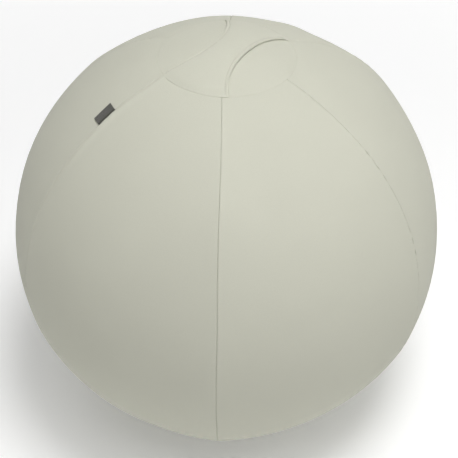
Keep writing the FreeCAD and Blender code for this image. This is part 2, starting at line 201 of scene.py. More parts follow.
STRAP_STITCH_INSET = 5.5 * MM
STRAP_BEAD = (0.85 * MM, 2.0 * MM, 1.6 * MM)
STRAP_CHANNEL = (-0.3 * MM, STRAP_STITCH_INSET, CHANNEL_WIDTH)
STRAP_WELT = (0.6 * MM, 3.0 * MM, 2.4 * MM)
STRAP_WELT_END = 0.75
STRAP_TUCK = 0.6 * MM
STRAP_RIM = 0.05 * MM
STRAP_STITCH_START = 0.03
STRAP_STITCH_POINTS = 60
STRAP_EDGE = np.array([0.0, 0.05, 0.2, 0.45, 0.8, 1.2, 2.0, 3.0, 4.0, 4.7, 5.1, 5.5, 5.9, 6.4, 7.5]) * MM
STRAP_MIDDLE_COLUMNS = 13
STRAP_ROWS = 44
STRAP_ROUNDS = 4

# Label in the front left seam
LABEL_ANGLE = radians(34.2)
LABEL_LENGTH = 30.0 * MM
LABEL_WIDTH = 17.2 * MM
LABEL_CLOTH = 0.32 * MM
LABEL_ROOT = 0.1 * MM
LABEL_FOLD = 0.5 * MM
LABEL_LIFT = 0.45 * MM
LABEL_CURL = 0.5 * MM
LABEL_CORNER_CURL = 0.45
LABEL_TUCK = 1.2 * MM
LABEL_TUCK_WIDTH = 1.2 * MM
LABEL_RIB = 0.55 * MM
LABEL_WARP = 0.9 * MM
LABEL_BORDER = 1.2 * MM
LABEL_ROWS = 31
LABEL_RUN_STEPS = 14
LABEL_FOLD_STEPS = 9

# Zip, in the seam between the rear and rear left panels
ZIP_AZIMUTH = ZIP_SEAM * SEAM_STEP
ZIP_ACROSS = np.array([-sin(ZIP_AZIMUTH), cos(ZIP_AZIMUTH), 0.0])
ZIP_RISE = 6.4 * MM
ZIP_RISE_TOP = -1.6 * MM
ZIP_RISE_START = radians(24.0)
ZIP_TOP = radians(70.0)
ZIP_BASE = radians(150.0)
ZIP_SLOT_HALF = 6.0 * MM
ZIP_SLOT_END = 3.0 * MM
ZIP_TAPER = 8.0 * MM
ZIP_EASE = radians(5.0)
ZIP_STITCH_INSET = 3.9 * MM
ZIP_STITCH_POINTS = 260
TAPE_OUTSIDE = BALL_RADIUS - 1.4 * MM
TAPE_THICKNESS = 0.6 * MM
TAPE_EDGES = (0.8 * MM, 14.8 * MM)
TAPE_COLUMNS = 9
TAPE_ROWS = 160
COIL_MIDDLE = BALL_RADIUS - 0.1 * MM
COIL_HEIGHT = 2.2 * MM
COIL_REACH = (-0.4 * MM, 3.0 * MM)
COIL_PITCH = 1.5 * MM
COIL_WIRE = 0.31 * MM
COIL_SIDES = 5
COIL_STEPS = 11
STOP_LENGTH = 4.0 * MM
STOP_SIDES = (0.8 * MM, 3.0 * MM)
STOP_HEIGHTS = (-1.2 * MM, 1.25 * MM)
STOP_EDGE = 0.55 * MM
STOP_SQUARENESS = 5.0
OUTLINE_STEPS = 40
PILLOW_RINGS = 8

# Zip slider and pull, in the slider's own frame
PULL_PIVOT = np.array(JOINTS["pull_flip"]["pos_m"]) - CENTRE
SLIDER_POLAR = acos(PULL_PIVOT[2] / np.linalg.norm(PULL_PIVOT))
SLIDER_HALF = 5.75 * MM
SLIDER_WIDTH_HALF = 4.1 * MM
SLIDER_TAPER = 0.3 * MM
SLIDER_SQUARENESS = 3.6
SLIDER_PLATE = 1.2 * MM
SLIDER_LOW = -3.4 * MM
SLIDER_HIGH = 1.2 * MM
CROWN_HEIGHT = 0.35 * MM
CROWN_SHARE = 0.8
RAIL_HALF = 0.35 * MM
RAIL_DROP = 0.9 * MM
RAIL_SHARE = 0.82
RAIL_SQUARENESS = 5.0
WEB_HALF = 0.4 * MM
WEB_LENGTH = 3.2 * MM
WEB_SQUARENESS = 4.0
BAIL_AXIS = float(np.linalg.norm(PULL_PIVOT)) - BALL_RADIUS
BAIL_HOLE = 1.1 * MM
BAIL_WALL = 1.5 * MM
BAIL_WIDTH = 1.6 * MM
BAIL_SIDES = 12
BAIL_STEPS = 19
PULL_WIDTH = 7.0 * MM
PULL_LENGTH = 30.0 * MM
PULL_HALF = 0.8 * MM
PULL_EYE = 1.5 * MM
PULL_SLOT = (0.8 * MM, 3.4 * MM)
PULL_SLOT_HALF = 1.0 * MM
PULL_SLOT_SQUARENESS = 6.0
PULL_HOLE = 1.5 * MM
PULL_EDGE = 0.35 * MM
PULL_WAIST = 0.75 * MM
PULL_WAIST_END = 1.0 * MM
PULL_BEND = 1.0 * MM
PULL_BEVEL_STEPS = 3
PULL_END_STEPS = 21
PULL_EYE_STEPS = 7
PULL_HOLE_STEPS = 24
PULL_WAIST_STEPS = 15

# Bladder and ballast
BLADDER_INSET = 3.7 * MM
BLADDER_WALL = 1.0 * MM
BLADDER_ROWS = 91
BLADDER_COLUMNS = 145
LEAST_COSINE = 1e-3
POUCH_SKIN = 0.7 * MM
POUCH_FLATNESS = 0.35
POUCH_FULLNESS = 0.6
POUCH_RIPPLES = 26
POUCH_RIPPLE = 1.6 * MM
POUCH_RIPPLE_POWER = 4
POUCH_ROWS = 41

# Colours
WHITE = (1.0, 1.0, 1.0)
COVER_COLOUR = (0.520, 0.520, 0.440)
BASE_COLOUR = (0.43, 0.43, 0.37)
THREAD_COLOUR = (0.47, 0.47, 0.39)
LABEL_COLOUR = (0.068, 0.067, 0.055)
TAPE_COLOUR = (0.40, 0.40, 0.33)
COIL_COLOUR = (0.44, 0.44, 0.37)
METAL_COLOUR = (0.58, 0.57, 0.53)
BLADDER_COLOUR = (0.30, 0.31, 0.31)
VALVE_COLOUR = (0.78, 0.78, 0.75)
POUCH_COLOUR = (0.06, 0.06, 0.065)
SAND_COLOUR = (0.52, 0.44, 0.32)

# Camera, from the photograph's 458 pixel frame
PHOTO_SIDE = 458
BALL_PIXEL = (226.48, 227.18)
FOCAL_PIXELS = 1149.2
SENSOR_WIDTH = 36.0
CAMERA_DISTANCE = 5.5 * MEAN_RADIUS
CAMERA_AZIMUTH = radians(32.31)
CAMERA_ELEVATION = radians(40.85)
CAMERA_ROLL = radians(0.27)

# Floor: its glow near the ball and far from it, and the distances between which that changes
FLOOR_HALF = 12.0
FLOOR_DROP = 0.3 * MM
FLOOR_GLOW = 0.16
FLOOR_FAR_GLOW = 0.62
FLOOR_EASE = (0.5, 3.0)
# The surround's strength at the floor's far edge and overhead, and the height where it stops changing
WORLD_LOW = 0.85
WORLD_HIGH = 0.15
WORLD_EASE = 0.26
# Soft boxes: the way to each one from the ball, in the camera's own axes, its distance, size and power
SOFT_BOXES = {
    "key": ((0.15, 0.62, 0.77), 3.0, 1.2, 51.0),
    "front": ((0.05, 0.35, 0.93), 3.0, 1.2, 13.0),
    "right": ((0.80, 0.15, 0.58), 3.0, 2.2, 6.0),
    "left": ((-0.94, 0.12, -0.2), 3.0, 2.2, 4.0),
    "top": ((0.0, 0.756, 0.654), 3.3, 5.0, 26.0),
    "rear": ((0.0, 0.72, -0.69), 3.3, 3.0, 14.0),
}


# Shape helpers
def smooth(share):
    share = np.clip(share, 0.0, 1.0)
    return share * share * (3 - 2 * share)


def bump(distance, width):
    return np.exp(-((distance / width) ** 2))


def ridge(distance, height, place, width):
    return height * bump(distance - place, width)


def unit(vectors):
    return vectors / np.linalg.norm(vectors, axis=-1, keepdims=True)


def direction(polar, azimuth):
    """Unit vectors out from the ball's centre."""
    polar, azimuth = np.broadcast_arrays(polar, azimuth)
    level = np.sin(polar)
    return np.stack([level * np.cos(azimuth), level * np.sin(azimuth), np.cos(polar)], axis=-1)


def on_ball(polar, azimuth, radius):
    out = direction(polar, azimuth)
    return CENTRE + out * np.broadcast_to(radius, out.shape[:-1])[..., None]


def node_points(name):
    return np.array([vertex.co for vertex in NODES[name].data.vertices])


def unevenness(polar, azimuth):
    """The slow waves that any stretched cloth has."""
    out = direction(polar, azimuth)
    return UNEVEN * np.sin(out @ UNEVEN_WAVES.T + UNEVEN_STARTS).sum(axis=-1)


def valve_swell(polar, azimuth):
    """The faint bulge over the bladder's valve."""
    out = unit(node_points("valve_plug").mean(axis=0) - CENTRE)
    turn = np.arccos(np.clip(direction(polar, azimuth) @ out, -1, 1))
    return VALVE_SWELL * bump(turn * MEAN_RADIUS, VALVE_SWELL_WIDTH)


def rear_crease(polar, azimuth):
    """The fold that the strap's rear end pulls into the rear panel: a line pressed into a soft ridge."""
    middle = (seam_azimuth(CREASE_PANEL, polar) + seam_azimuth(CREASE_PANEL + 1, polar)) / 2
    away = (azimuth - middle) * MEAN_RADIUS * np.sin(polar)
    fade = smooth((CREASE_END - polar) / (CREASE_END - CAP_ANGLE) * 2) * (polar > CAP_ANGLE)
    beside = ridge(polar, *CREASE_RIDGE) * bump(away, CREASE_RIDGE_WIDTH)
    return CREASE_DEPTH * fade * bump(away, CREASE_WIDTH) - beside


def way_down(polar):
    """How far down the panels a polar angle lies, from 0 at the cap's ring to 1 at the base's."""
    return np.clip((polar - CAP_ANGLE) / (BASE_ANGLE - CAP_ANGLE), 0.0, 1.0)


def seam_azimuth(seam, polar):
    """Where a seam runs. It strays from its meridian, as on a cover that was pulled on by hand."""
    sway = 0 * polar
    for place, width, offset in SEAM_SWAYS.get(seam % PANELS, ()):
        sway = sway + ridge(polar, offset * MM, radians(place), radians(width))
    return seam * SEAM_STEP + sway / (MEAN_RADIUS * np.sin(polar))


def seam_rise(seam, down):
    """How far a seam stands out from the middle of the panels beside it."""
    if seam == ZIP_SEAM:
        start, end = way_down(ZIP_RISE_START), way_down(ZIP_TOP - ZIP_EASE)
        return ZIP_RISE_TOP + (ZIP_RISE - ZIP_RISE_TOP) * smooth((down - start) / (end - start))
    return SEAM_SHARES[seam] * (SEAM_RISE_BASE + (SEAM_RISE_TOP - SEAM_RISE_BASE) * (1 - down))


def cover_radius(polar, azimuth):
    """The cover's outer surface, without the grooves at its seams."""
    polar, azimuth = np.broadcast_arrays(polar, azimuth)
    down = way_down(polar)
    ramp = smooth(down / TOP_RAMP) * smooth((1 - down) / BASE_RAMP)
    inside = np.clip(polar, CAP_ANGLE, BASE_ANGLE)
    seams = np.stack([seam_azimuth(seam, inside) for seam in range(-1, PANELS + 2)])
    rises = np.stack([seam_rise(seam % PANELS, down) for seam in range(-1, PANELS + 2)])
    before = np.clip((azimuth >= seams).sum(axis=0) - 1, 0, PANELS + 1)

    def pick(values, step):
        return np.take_along_axis(values, (before + step)[None], 0)[0]

    across = (azimuth - pick(seams, 0)) / (pick(seams, 1) - pick(seams, 0))
    rise = pick(rises, 0) + (pick(rises, 1) - pick(rises, 0)) * smooth(across)
    edge = (2 * across - 1) ** 2
    hollow = PANEL_HOLLOWS[(before - 1) % PANELS] * (1 - edge) * (1 - down) ** 2
    shape = ramp * (rise * edge - PANEL_SAG - hollow)
    detail = unevenness(polar, azimuth) + valve_swell(polar, azimuth) - rear_crease(inside, azimuth)
    return MEAN_RADIUS + shape + detail - ring_dip(polar, azimuth)


def ring_dip(polar, azimuth):
    """The shallow valley that the ring seam draws into the cloth on both of its sides."""
    deepest = bump((azimuth - RING_DIP_AZIMUTH + pi) % tau - pi, RING_DIP_REACH)
    depth = RING_DIP * (1 + RING_DIP_GAIN * deepest)
    return depth * bump((polar - CAP_ANGLE) * MEAN_RADIUS, RING_DIP_WIDTH)


def strap_press(polar, azimuth):
    """How far the ring's sewing presses the cap and the strap's front end down, towards the panel."""
    turn = azimuth % tau
    first, last = PRESS_SPAN
    window = smooth((turn - first) / PRESS_EASE) * smooth((last - turn) / PRESS_EASE)
    return PRESS_DEPTH * window * bump((polar - CAP_ANGLE) * MEAN_RADIUS, PRESS_WIDTH)


def cap_radius(polar, azimuth):
    """The top cap's outer surface."""
    crown = CAP_CROWN * (1 - (polar / CAP_ANGLE) ** 2)
    sunk = ring_dip(polar, azimuth) + strap_press(polar, azimuth)
    return MEAN_RADIUS + crown + unevenness(polar, azimuth) - sunk


def puckers(along, distance, seam, side):
    """Small gathers that a seam's thread draws into the cloth beside it."""
    starts = PUCKER_STARTS[seam % PANELS, side]
    drift = PUCKER_DRIFT * np.sin(tau * along / PUCKER_DRIFT_LENGTH + starts[1])
    wave = np.sin(tau * along / PUCKER_LENGTH + starts[0] + drift)
    patches = 0.5 + 0.5 * np.sin(tau * along / PUCKER_PATCH_LENGTH + starts[2])
    depth = PUCKER_DEPTH * PUCKER_SHARES[seam % PANELS]
    return depth * smooth(along / PUCKER_FADE) * wave * patches * bump(distance, PUCKER_REACH)


def seam_welt(polar, distance, seam, side):
    """The low ridge of the turned-in hems, which shows through beside the label's seam."""
    if (seam, side) != WELT_SIDE:
        return 0 * distance
    return smooth((WELT_END - polar) / WELT_FADE) * ridge(distance, *WELT)


def groove_share(polar, seam):
    """How deep a seam's groove is against the usual: the front right one is flatter near the ring."""
    if seam % PANELS != FRONT_RIGHT_SEAM:
        return 1 + 0 * polar
    return 1 - FLAT_SHARE * smooth((FLAT_END - polar) / FLAT_FADE)


def zip_open(polar):
    """1 where a panel's edge is set back beside the zip, falling to 0 past the zip's ends."""
    taper = ZIP_TAPER / MEAN_RADIUS
    above = (polar - (ZIP_TOP - taper)) / taper
    below = (ZIP_BASE + taper - polar) / taper
    return smooth(above) * smooth(below)


def setback(seam, polar):
    """How far a panel's edge is set back from its seam."""
    if seam % PANELS != ZIP_SEAM:
        return 0 * polar
    return ZIP_SLOT_HALF * zip_open(polar)


# Mesh helpers
def link(name, data):
    piece = bpy.data.objects.new(name, data)
    bpy.context.scene.collection.objects.link(piece)
    return piece


def weld(mesh):
    """Joins a mesh's doubled points, turns its faces outwards and smooths it, except at sharp edges."""
    work = bmesh.new()
    work.from_mesh(mesh)
    bmesh.ops.remove_doubles(work, verts=work.verts, dist=WELD)
    bmesh.ops.recalc_face_normals(work, faces=work.faces)
    work.to_mesh(mesh)
    work.free()
    mesh.polygons.foreach_set("use_smooth", np.ones(len(mesh.polygons), bool))
    mesh.set_sharp_from_angle(angle=SHARP_ANGLE)


def build(name, points, faces, uv, slot):
    """A welded mesh object with its map and its finish."""
    mesh = bpy.data.meshes.new(name)
    mesh.from_pydata(np.asarray(points).tolist(), [], [list(map(int, face)) for face in faces])
    corner = np.empty(len(mesh.loops), np.int32)
    mesh.loops.foreach_get("vertex_index", corner)
    layer = mesh.uv_layers.new(name="Weave")
    layer.data.foreach_set("uv", np.asarray(uv, np.float32)[corner].ravel())
    weld(mesh)
    mesh.materials.append(LOOKS[slot])
    return link(name, mesh)


def flat_map(across, along):
    """A map of the distances across and along the cloth."""
    return np.stack(np.broadcast_arrays(across, along), axis=-1)


def grid_faces(index):
    """The four-cornered faces of a grid of point numbers."""
    corners = [index[:-1, :-1], index[1:, :-1], index[1:, 1:], index[:-1, 1:]]
    return np.stack(corners, axis=-1).reshape(-1, 4)


def shell(name, outer, inner, uv, slot, rims=ALL_RIMS):
    """A closed sheet between two grids of points. A rim is left out where the grid meets itself."""
    rows, columns = outer.shape[:2]
    count = rows * columns
    index = np.arange(count).reshape(rows, columns)
    edges = {"left": index[:, 0], "right": index[:, -1], "first": index[0], "last": index[-1]}
    faces = [grid_faces(index), grid_faces(index + count)]
    for rim in rims:
        start, end = edges[rim][:-1], edges[rim][1:]
        faces.append(np.stack([start, end, end + count, start + count], axis=-1))
    points = np.concatenate([outer.reshape(-1, 3), inner.reshape(-1, 3)])
    flat = uv.reshape(-1, 2)
    return build(name, points, np.concatenate(faces), np.concatenate([flat, flat]), slot)


def joined(parts):
    """The points and faces of several parts as one, from the points and faces of each."""
    points, faces, start = [], [], 0
    for part_points, part_faces, *_ in parts:
        points.append(part_points)
        faces += [[start + corner for corner in face] for face in part_faces]
        start += len(part_points)
    return np.concatenate(points), faces


def run_length(path):
    """How far along a path each of its points lies."""
    steps = np.linalg.norm(np.diff(path, axis=0), axis=1)
    return np.concatenate([[0], np.cumsum(steps)])


def tube_parts(path, normals, radius, sides):
    """The points, faces and map of a closed round tube. A radius pair gives an oval one."""
    wide, high = np.broadcast_to(radius, 2)
    along = unit(np.gradient(path, axis=0))
    side = unit(np.cross(along, normals))
    up = np.cross(side, along)
    turn = np.linspace(0, tau, sides + 1)
    ring = side[:, None] * np.cos(turn)[:, None] * wide + up[:, None] * np.sin(turn)[:, None] * high
    points = (path[:, None] + ring).reshape(-1, 3)
    uv = flat_map(turn / tau, run_length(path)[:, None]).reshape(-1, 2)
    index = np.arange(len(points)).reshape(len(path), sides + 1)
    ends = [index[0, :-1].tolist(), index[-1, :-1].tolist()]
    return points, grid_faces(index).tolist() + ends, uv


def tubes(name, paths, radius, sides, slot):
    """One piece of several separate tubes, each given as its path and the normals along it."""
    parts = [tube_parts(path, normals, radius, sides) for path, normals in paths]
    points, faces = joined(parts)
    return build(name, points, faces, np.concatenate([uv for _, _, uv in parts]), slot)


def stitches(name, lines):
    """Rows of sewing stitches along lines on the cloth, each dipping into the cloth at both ends."""
    paths = []
    for line, normals in lines:
        length = run_length(line)
        for start in np.arange(STITCH_GAP, length[-1] - STITCH_LENGTH, STITCH_LENGTH + STITCH_GAP):
            at = start + STITCH_SHAPE[:, 0] * STITCH_LENGTH
            tracks = (line.T, normals.T)
            place, out = (np.stack([np.interp(at, length, row) for row in track]).T for track in tracks)
            paths.append((place + out * STITCH_SHAPE[:, 1:] * STITCH_RADIUS, out))
    return tubes(name, paths, STITCH_RADIUS, THREAD_SIDES, "thread")


def settle(piece, body, *nodes):
    """Gives a piece its body and hides the nodes that it stands for."""
    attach(piece, body)
    if nodes:
        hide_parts(*nodes)
    return piece


# Materials
def add_node(tree, kind, inputs, **settings):
    made = tree.nodes.new(kind)
    for name, value in settings.items():
        setattr(made, name, value)
    for place, value in inputs.items():
        if isinstance(value, bpy.types.NodeSocket):
            tree.links.new(value, made.inputs[place])
        else:
            made.inputs[place].default_value = value
    return made


def eased(tree, value, start, end, low, high):
    """A smooth change from low to high while a value goes from start to end."""
    inputs = {"Value": value, "From Min": start, "From Max": end, "To Min": low, "To Max": high}
    return add_node(tree, "ShaderNodeMapRange", inputs, interpolation_type="SMOOTHSTEP").outputs[0]


LOOKS = {}


class Look:
    """A material under work, which LOOKS keeps under the name of its slot. The shader's plain values are
    given by name, with _ for each space."""

    def __init__(self, slot, **sockets):
        material = bpy.data.materials.new(slot)
        material.use_nodes = True
        LOOKS[slot] = material
        self.tree = material.node_tree
        self.shader = self.tree.nodes["Principled BSDF"]
        for socket, value in sockets.items():
            self.shader.inputs[socket.replace("_", " ")].default_value = value

    def node(self, kind, inputs, **settings):
        return add_node(self.tree, kind, inputs, **settings)

    def connect(self, socket, value):
        self.tree.links.new(value, self.shader.inputs[socket])

    def calc(self, operation, *values):
        return self.node("ShaderNodeMath", dict(enumerate(values)), operation=operation).outputs[0]

    def line(self, value, gain, start):
        return self.calc("MULTIPLY_ADD", value, gain, start)

    def total(self, *pairs):
        """A sum of values, each given with its share."""
        result = 0.0
        for value, share in pairs:
            result = self.line(value, share, result)
        return result

    def wave(self, value, half):
        """A sine wave, from the length of its half."""
        return self.calc("SINE", self.calc("MULTIPLY", value, pi / half))

    def ridges(self, value, width):
        """Round ridges side by side."""
        return self.calc("ABSOLUTE", self.wave(value, width))

    def noise(self, place, scale, detail=3.0):
        inputs = {"Vector": place, "Scale": scale, "Detail": detail}
        return self.node("ShaderNodeTexNoise", inputs).outputs["Fac"]

    def weave_map(self):
        """The map of the cloth, and the distances across and along it."""
        place = self.node("ShaderNodeUVMap", {}, uv_map="Weave").outputs[0]
        split = self.node("ShaderNodeSeparateXYZ", {0: place})
        return place, split.outputs[0], split.outputs[1]

    def object_place(self):
        return self.node("ShaderNodeTexCoord", {}).outputs["Object"]

    def shades(self, factor, colour, dark, light):
        """Shades the colour between a dark and a light share of it."""
        low, high = (tuple(min(1.0, part * share) for part in colour) + (1.0,) for share in (dark, light))
        mixed = self.node("ShaderNodeMix", {0: factor, 6: low, 7: high}, data_type="RGBA")
        self.connect("Base Color", mixed.outputs[2])

    def roughness(self, value, gain, start):
        self.connect("Roughness", self.line(value, gain, start))

    def relief(self, height, depth, strength):
        made = self.node("ShaderNodeBump", {"Height": height, "Distance": depth, "Strength": strength})
        self.connect("Normal", made.outputs[0])


def plain_weave(look, across, along, pitch):
    """The height of a plain weave: round yarns that pass over and under each other."""
    waves = [look.wave(across, pitch), look.wave(along, pitch)]
    over = look.calc("GREATER_THAN", look.calc("MULTIPLY", *waves), 0.0)
    warp, weft = (look.calc("ABSOLUTE", wave) for wave in waves)
    crowns = []
    for yarn, other in ((warp, weft), (weft, warp)):
        arch = look.line(other, gain=0.6, start=0.4)
        crowns.append(look.calc("MULTIPLY", look.calc("POWER", yarn, 0.5), arch))
    gain = look.calc("MULTIPLY", look.calc("SUBTRACT", *crowns), over)
    return look.calc("ADD", crowns[1], gain)


def make_cloth(slot, colour, pitch, depth, sheen=0.03, contrast=0.16):
    """Woven cloth: yarns with painted shade between them, uneven fibres and slow changes of tone."""
    look = Look(slot, Sheen_Weight=sheen, Sheen_Roughness=0.45, Specular_IOR_Level=0.25)
    place, across, along = look.weave_map()
    height = plain_weave(look, across, along, pitch)
    fibres = look.noise(place, scale=0.45 / pitch)
    clouds = look.noise(place, scale=7.0, detail=2.0)
    # Colour: random fibre and cloud tone, plus painted shade, darker between the yarns and lighter on their
    # crowns.
    shade = look.total((fibres, 0.3), (height, 0.55), (clouds, 0.25))
    look.shades(shade, colour, dark=1 - contrast, light=1 + contrast)
    look.roughness(fibres, gain=0.16, start=0.8)
    look.relief(look.line(fibres, gain=0.5, start=height), depth, strength=0.5)


def make_thread(slot, colour):
    """Twisted thread, with its plies slanting round it and painted shade in the grooves between them."""
    look = Look(slot, Sheen_Weight=0.2, Roughness=0.7)
    _, around, along = look.weave_map()
    ply_length = 1.2 * MM
    ply = look.ridges(look.total((around, 2.0), (along, 1 / ply_length)), width=1.0)
    # Painted shade: darker in the grooves between the plies, lighter on their crowns.
    look.shades(ply, colour, dark=0.7, light=1.08)
    look.relief(ply, depth=0.1 * MM, strength=0.6)


def make_tape(slot, colour):
    """Herringbone tape, with painted shade in the grooves of its twill."""
    look = Look(slot, Sheen_Weight=0.15, Specular_IOR_Level=0.3)
    place, across, along = look.weave_map()
    column = 1.4 * MM
    slant = look.calc("ADD", along, look.calc("PINGPONG", across, column))
    twill = look.line(look.wave(slant, half=0.375 * MM), gain=0.5, start=0.5)
    fibres = look.noise(place, scale=900.0)
    # Colour: painted shade, darker in the grooves of the twill, and random fibre tone.
    look.shades(look.total((twill, 0.6), (fibres, 0.4)), colour, dark=0.74, light=1.1)
    look.roughness(fibres, gain=0.2, start=0.65)
    look.relief(twill, depth=0.12 * MM, strength=0.6)


def make_label(slot, colour):
    """Damask label: fine weft ribs, with painted shade between them, and a woven border along its edges."""
    look = Look(slot, Sheen_Weight=0.25, Specular_IOR_Level=0.35)
    place, across, along = look.weave_map()
    ribs = look.ridges(along, LABEL_RIB)
    height = look.line(look.ridges(across, LABEL_WARP), gain=0.35, start=ribs)
    fibres = look.noise(place, scale=1500.0)
    border = look.calc("GREATER_THAN", look.calc("ABSOLUTE", across), LABEL_LENGTH / 2 - LABEL_BORDER)
    # Colour: random fibre tone, the lighter woven border, and painted shade darkening the grooves between the
    # ribs.
    shade = look.total((fibres, 0.3), (height, 0.4), (border, 0.3))
    look.shades(shade, colour, dark=0.45, light=1.35)
    look.roughness(ribs, gain=0.2, start=0.55)
    look.relief(height, depth=0.14 * MM, strength=0.8)


def make_plastic(slot, colour, rough, scale, **sockets):
    """Moulded or drawn plastic: a fine uneven skin with slow changes of shade."""
    look = Look(slot, **sockets)
    place = look.object_place()
    grain = look.noise(place, scale, detail=4.0)
    clouds = look.noise(place, scale=25.0, detail=2.0)
    look.shades(look.total((grain, 0.4), (clouds, 0.6)), colour, dark=0.88, light=1.1)
    look.roughness(grain, gain=0.2, start=rough - 0.1)
    look.relief(grain, depth=0.03 * MM, strength=0.4)


def make_vinyl(slot, colour):
    """Blown vinyl with the shallow ribs that keep such a ball from slipping."""
    look = Look(slot, Coat_Weight=0.15, Specular_IOR_Level=0.5)
    place = look.object_place()
    height = look.node("ShaderNodeSeparateXYZ", {0: place}).outputs[2]
    ribs = look.wave(height, half=4.5 * MM)
    grain = look.noise(place, scale=500.0)
    look.shades(look.noise(place, scale=8.0), colour, dark=0.86, light=1.1)
    look.roughness(grain, gain=0.2, start=0.32)
    look.relief(look.line(grain, gain=0.3, start=ribs), depth=0.3 * MM, strength=0.5)


def make_metal(slot, colour):
    """Plated zinc: tumbled, with fine scratches and duller hollows."""
    look = Look(slot, Metallic=1.0)
    place = look.object_place()
    clouds = look.noise(place, scale=260.0)
    stretched = look.node("ShaderNodeMapping", {"Vector": place, "Scale": (900.0, 5000.0, 900.0)})
    scratches = look.noise(stretched.outputs[0], scale=1.0, detail=2.0)
    look.shades(clouds, colour, dark=0.82, light=1.12)
    look.roughness(scratches, gain=0.22, start=look.line(clouds, gain=0.2, start=0.12))
    look.relief(scratches, depth=0.03 * MM, strength=0.3)


def make_sand(slot, colour):
    """Dry sand: grains of several shades."""
    look = Look(slot, Roughness=0.9, Specular_IOR_Level=0.3)
    place = look.object_place()
    grains = look.node("ShaderNodeTexVoronoi", {"Vector": place, "Scale": 900.0}).outputs["Distance"]
    shade = look.line(grains, gain=0.6, start=look.noise(place, scale=600.0))
    look.shades(shade, colour, dark=0.55, light=1.25)
    look.relief(grains, depth=0.5 * MM, strength=0.7)


def make_floor(slot):
    """A pale floor that glows more with its distance from the ball."""
    look = Look(slot, Specular_IOR_Level=0.2, Emission_Color=WHITE + (1.0,))
    place = look.object_place()
    away = look.node("ShaderNodeVectorMath", {0: place}, operation="LENGTH").outputs["Value"]
    look.connect("Emission Strength", eased(look.tree, away, *FLOOR_EASE, FLOOR_GLOW, FLOOR_FAR_GLOW))
    grain = look.noise(place, scale=40.0)
    look.shades(grain, WHITE, dark=0.94, light=0.97)
    look.roughness(grain, gain=0.1, start=0.75)


# A look for each of the record's slots, and one for the floor
make_cloth("cover_cloth", COVER_COLOUR, pitch=0.8 * MM, depth=0.16 * MM)
make_cloth("strap_cloth", COVER_COLOUR, pitch=0.8 * MM, depth=0.18 * MM)
make_cloth("base_cloth", BASE_COLOUR, pitch=1.1 * MM, depth=0.3 * MM)
make_cloth("pouch_cloth", POUCH_COLOUR, pitch=0.6 * MM, depth=0.15 * MM, sheen=0.1, contrast=0.3)
make_thread("thread", THREAD_COLOUR)
make_label("label_weave", LABEL_COLOUR)
make_tape("zip_tape", TAPE_COLOUR)
make_plastic("zip_coil", COIL_COLOUR, rough=0.42, scale=1200.0, Specular_IOR_Level=0.5)
make_metal("zip_metal", METAL_COLOUR)
make_vinyl("bladder_vinyl", BLADDER_COLOUR)
make_plastic("valve_plastic", VALVE_COLOUR, rough=0.38, scale=1500.0, Coat_Weight=0.1)
make_sand("sand", SAND_COLOUR)
make_floor("floor")


# Cover panels
def rolled_edge(radius, cloth):
    """An edge that turns down into the ring seam: for its outer and inner face, how far in from the seam
    and how deep each point lies."""
    turn = np.linspace(pi / 2, 0, ROLL_STEPS)
    tight = radius - cloth
    outer_in = RING_GAP + RING_SQUEEZE * radius * (1 - np.sin(turn))
    outer_depth = RING_GROOVE * (1 - np.cos(turn))
    inner_in = RING_GAP + RING_SQUEEZE * (radius - tight * np.sin(turn))
    inner_depth = radius - tight * np.cos(turn)
    faces = []
    for place, depth in ((outer_in, outer_depth), (inner_in, inner_depth)):
        faces.append((np.append(place[0], place), np.append(radius + RING_GROOVE, depth)))
    return faces


def turned_hem():
    """A panel's edge across its seam: the hem's free end, the fold at the seam and the first stretch of the
    panel, as in rolled_edge."""
    turn = np.linspace(pi / 2, -pi / 2, ROLL_STEPS + 2)
    middle = SEAM_GAP + HEM_ROLL
    hem = [middle + HEM_WIDTH, middle + HEM_WIDTH / 2]
    faces = []
    for radius, under in ((HEM_ROLL, 0.0), (HEM_ROLL - CLOTH, CLOTH)):
        place = np.concatenate([hem, middle - radius * np.cos(turn), middle + NEAR_COLUMNS])
        fold = HEM_ROLL + radius * np.sin(turn)
        depth = np.concatenate([[2 * HEM_ROLL - under] * 2, fold, 0 * NEAR_COLUMNS + under])
        faces.append((place, depth))
    return faces


def panel_rows():
    """The panel's rows from the cap's ring to the base's, as in rolled_edge."""
    length = MEAN_RADIUS * (BASE_ANGLE - CAP_ANGLE)
    edges = rolled_edge(CLOTH + RING_SLACK, CLOTH)
    start = edges[0][0][-1]
    count = round((length - 2 * start) / ROW_STEP)
    flat = np.linspace(start, length - start, count)[1:-1]
    faces = []
    for (place, depth), under in zip(edges, (0.0, CLOTH)):
        rows = np.concatenate([place, flat, (length - place)[::-1]])
        faces.append((rows, np.concatenate([depth, 0 * flat + under, depth[::-1]])))
    return faces


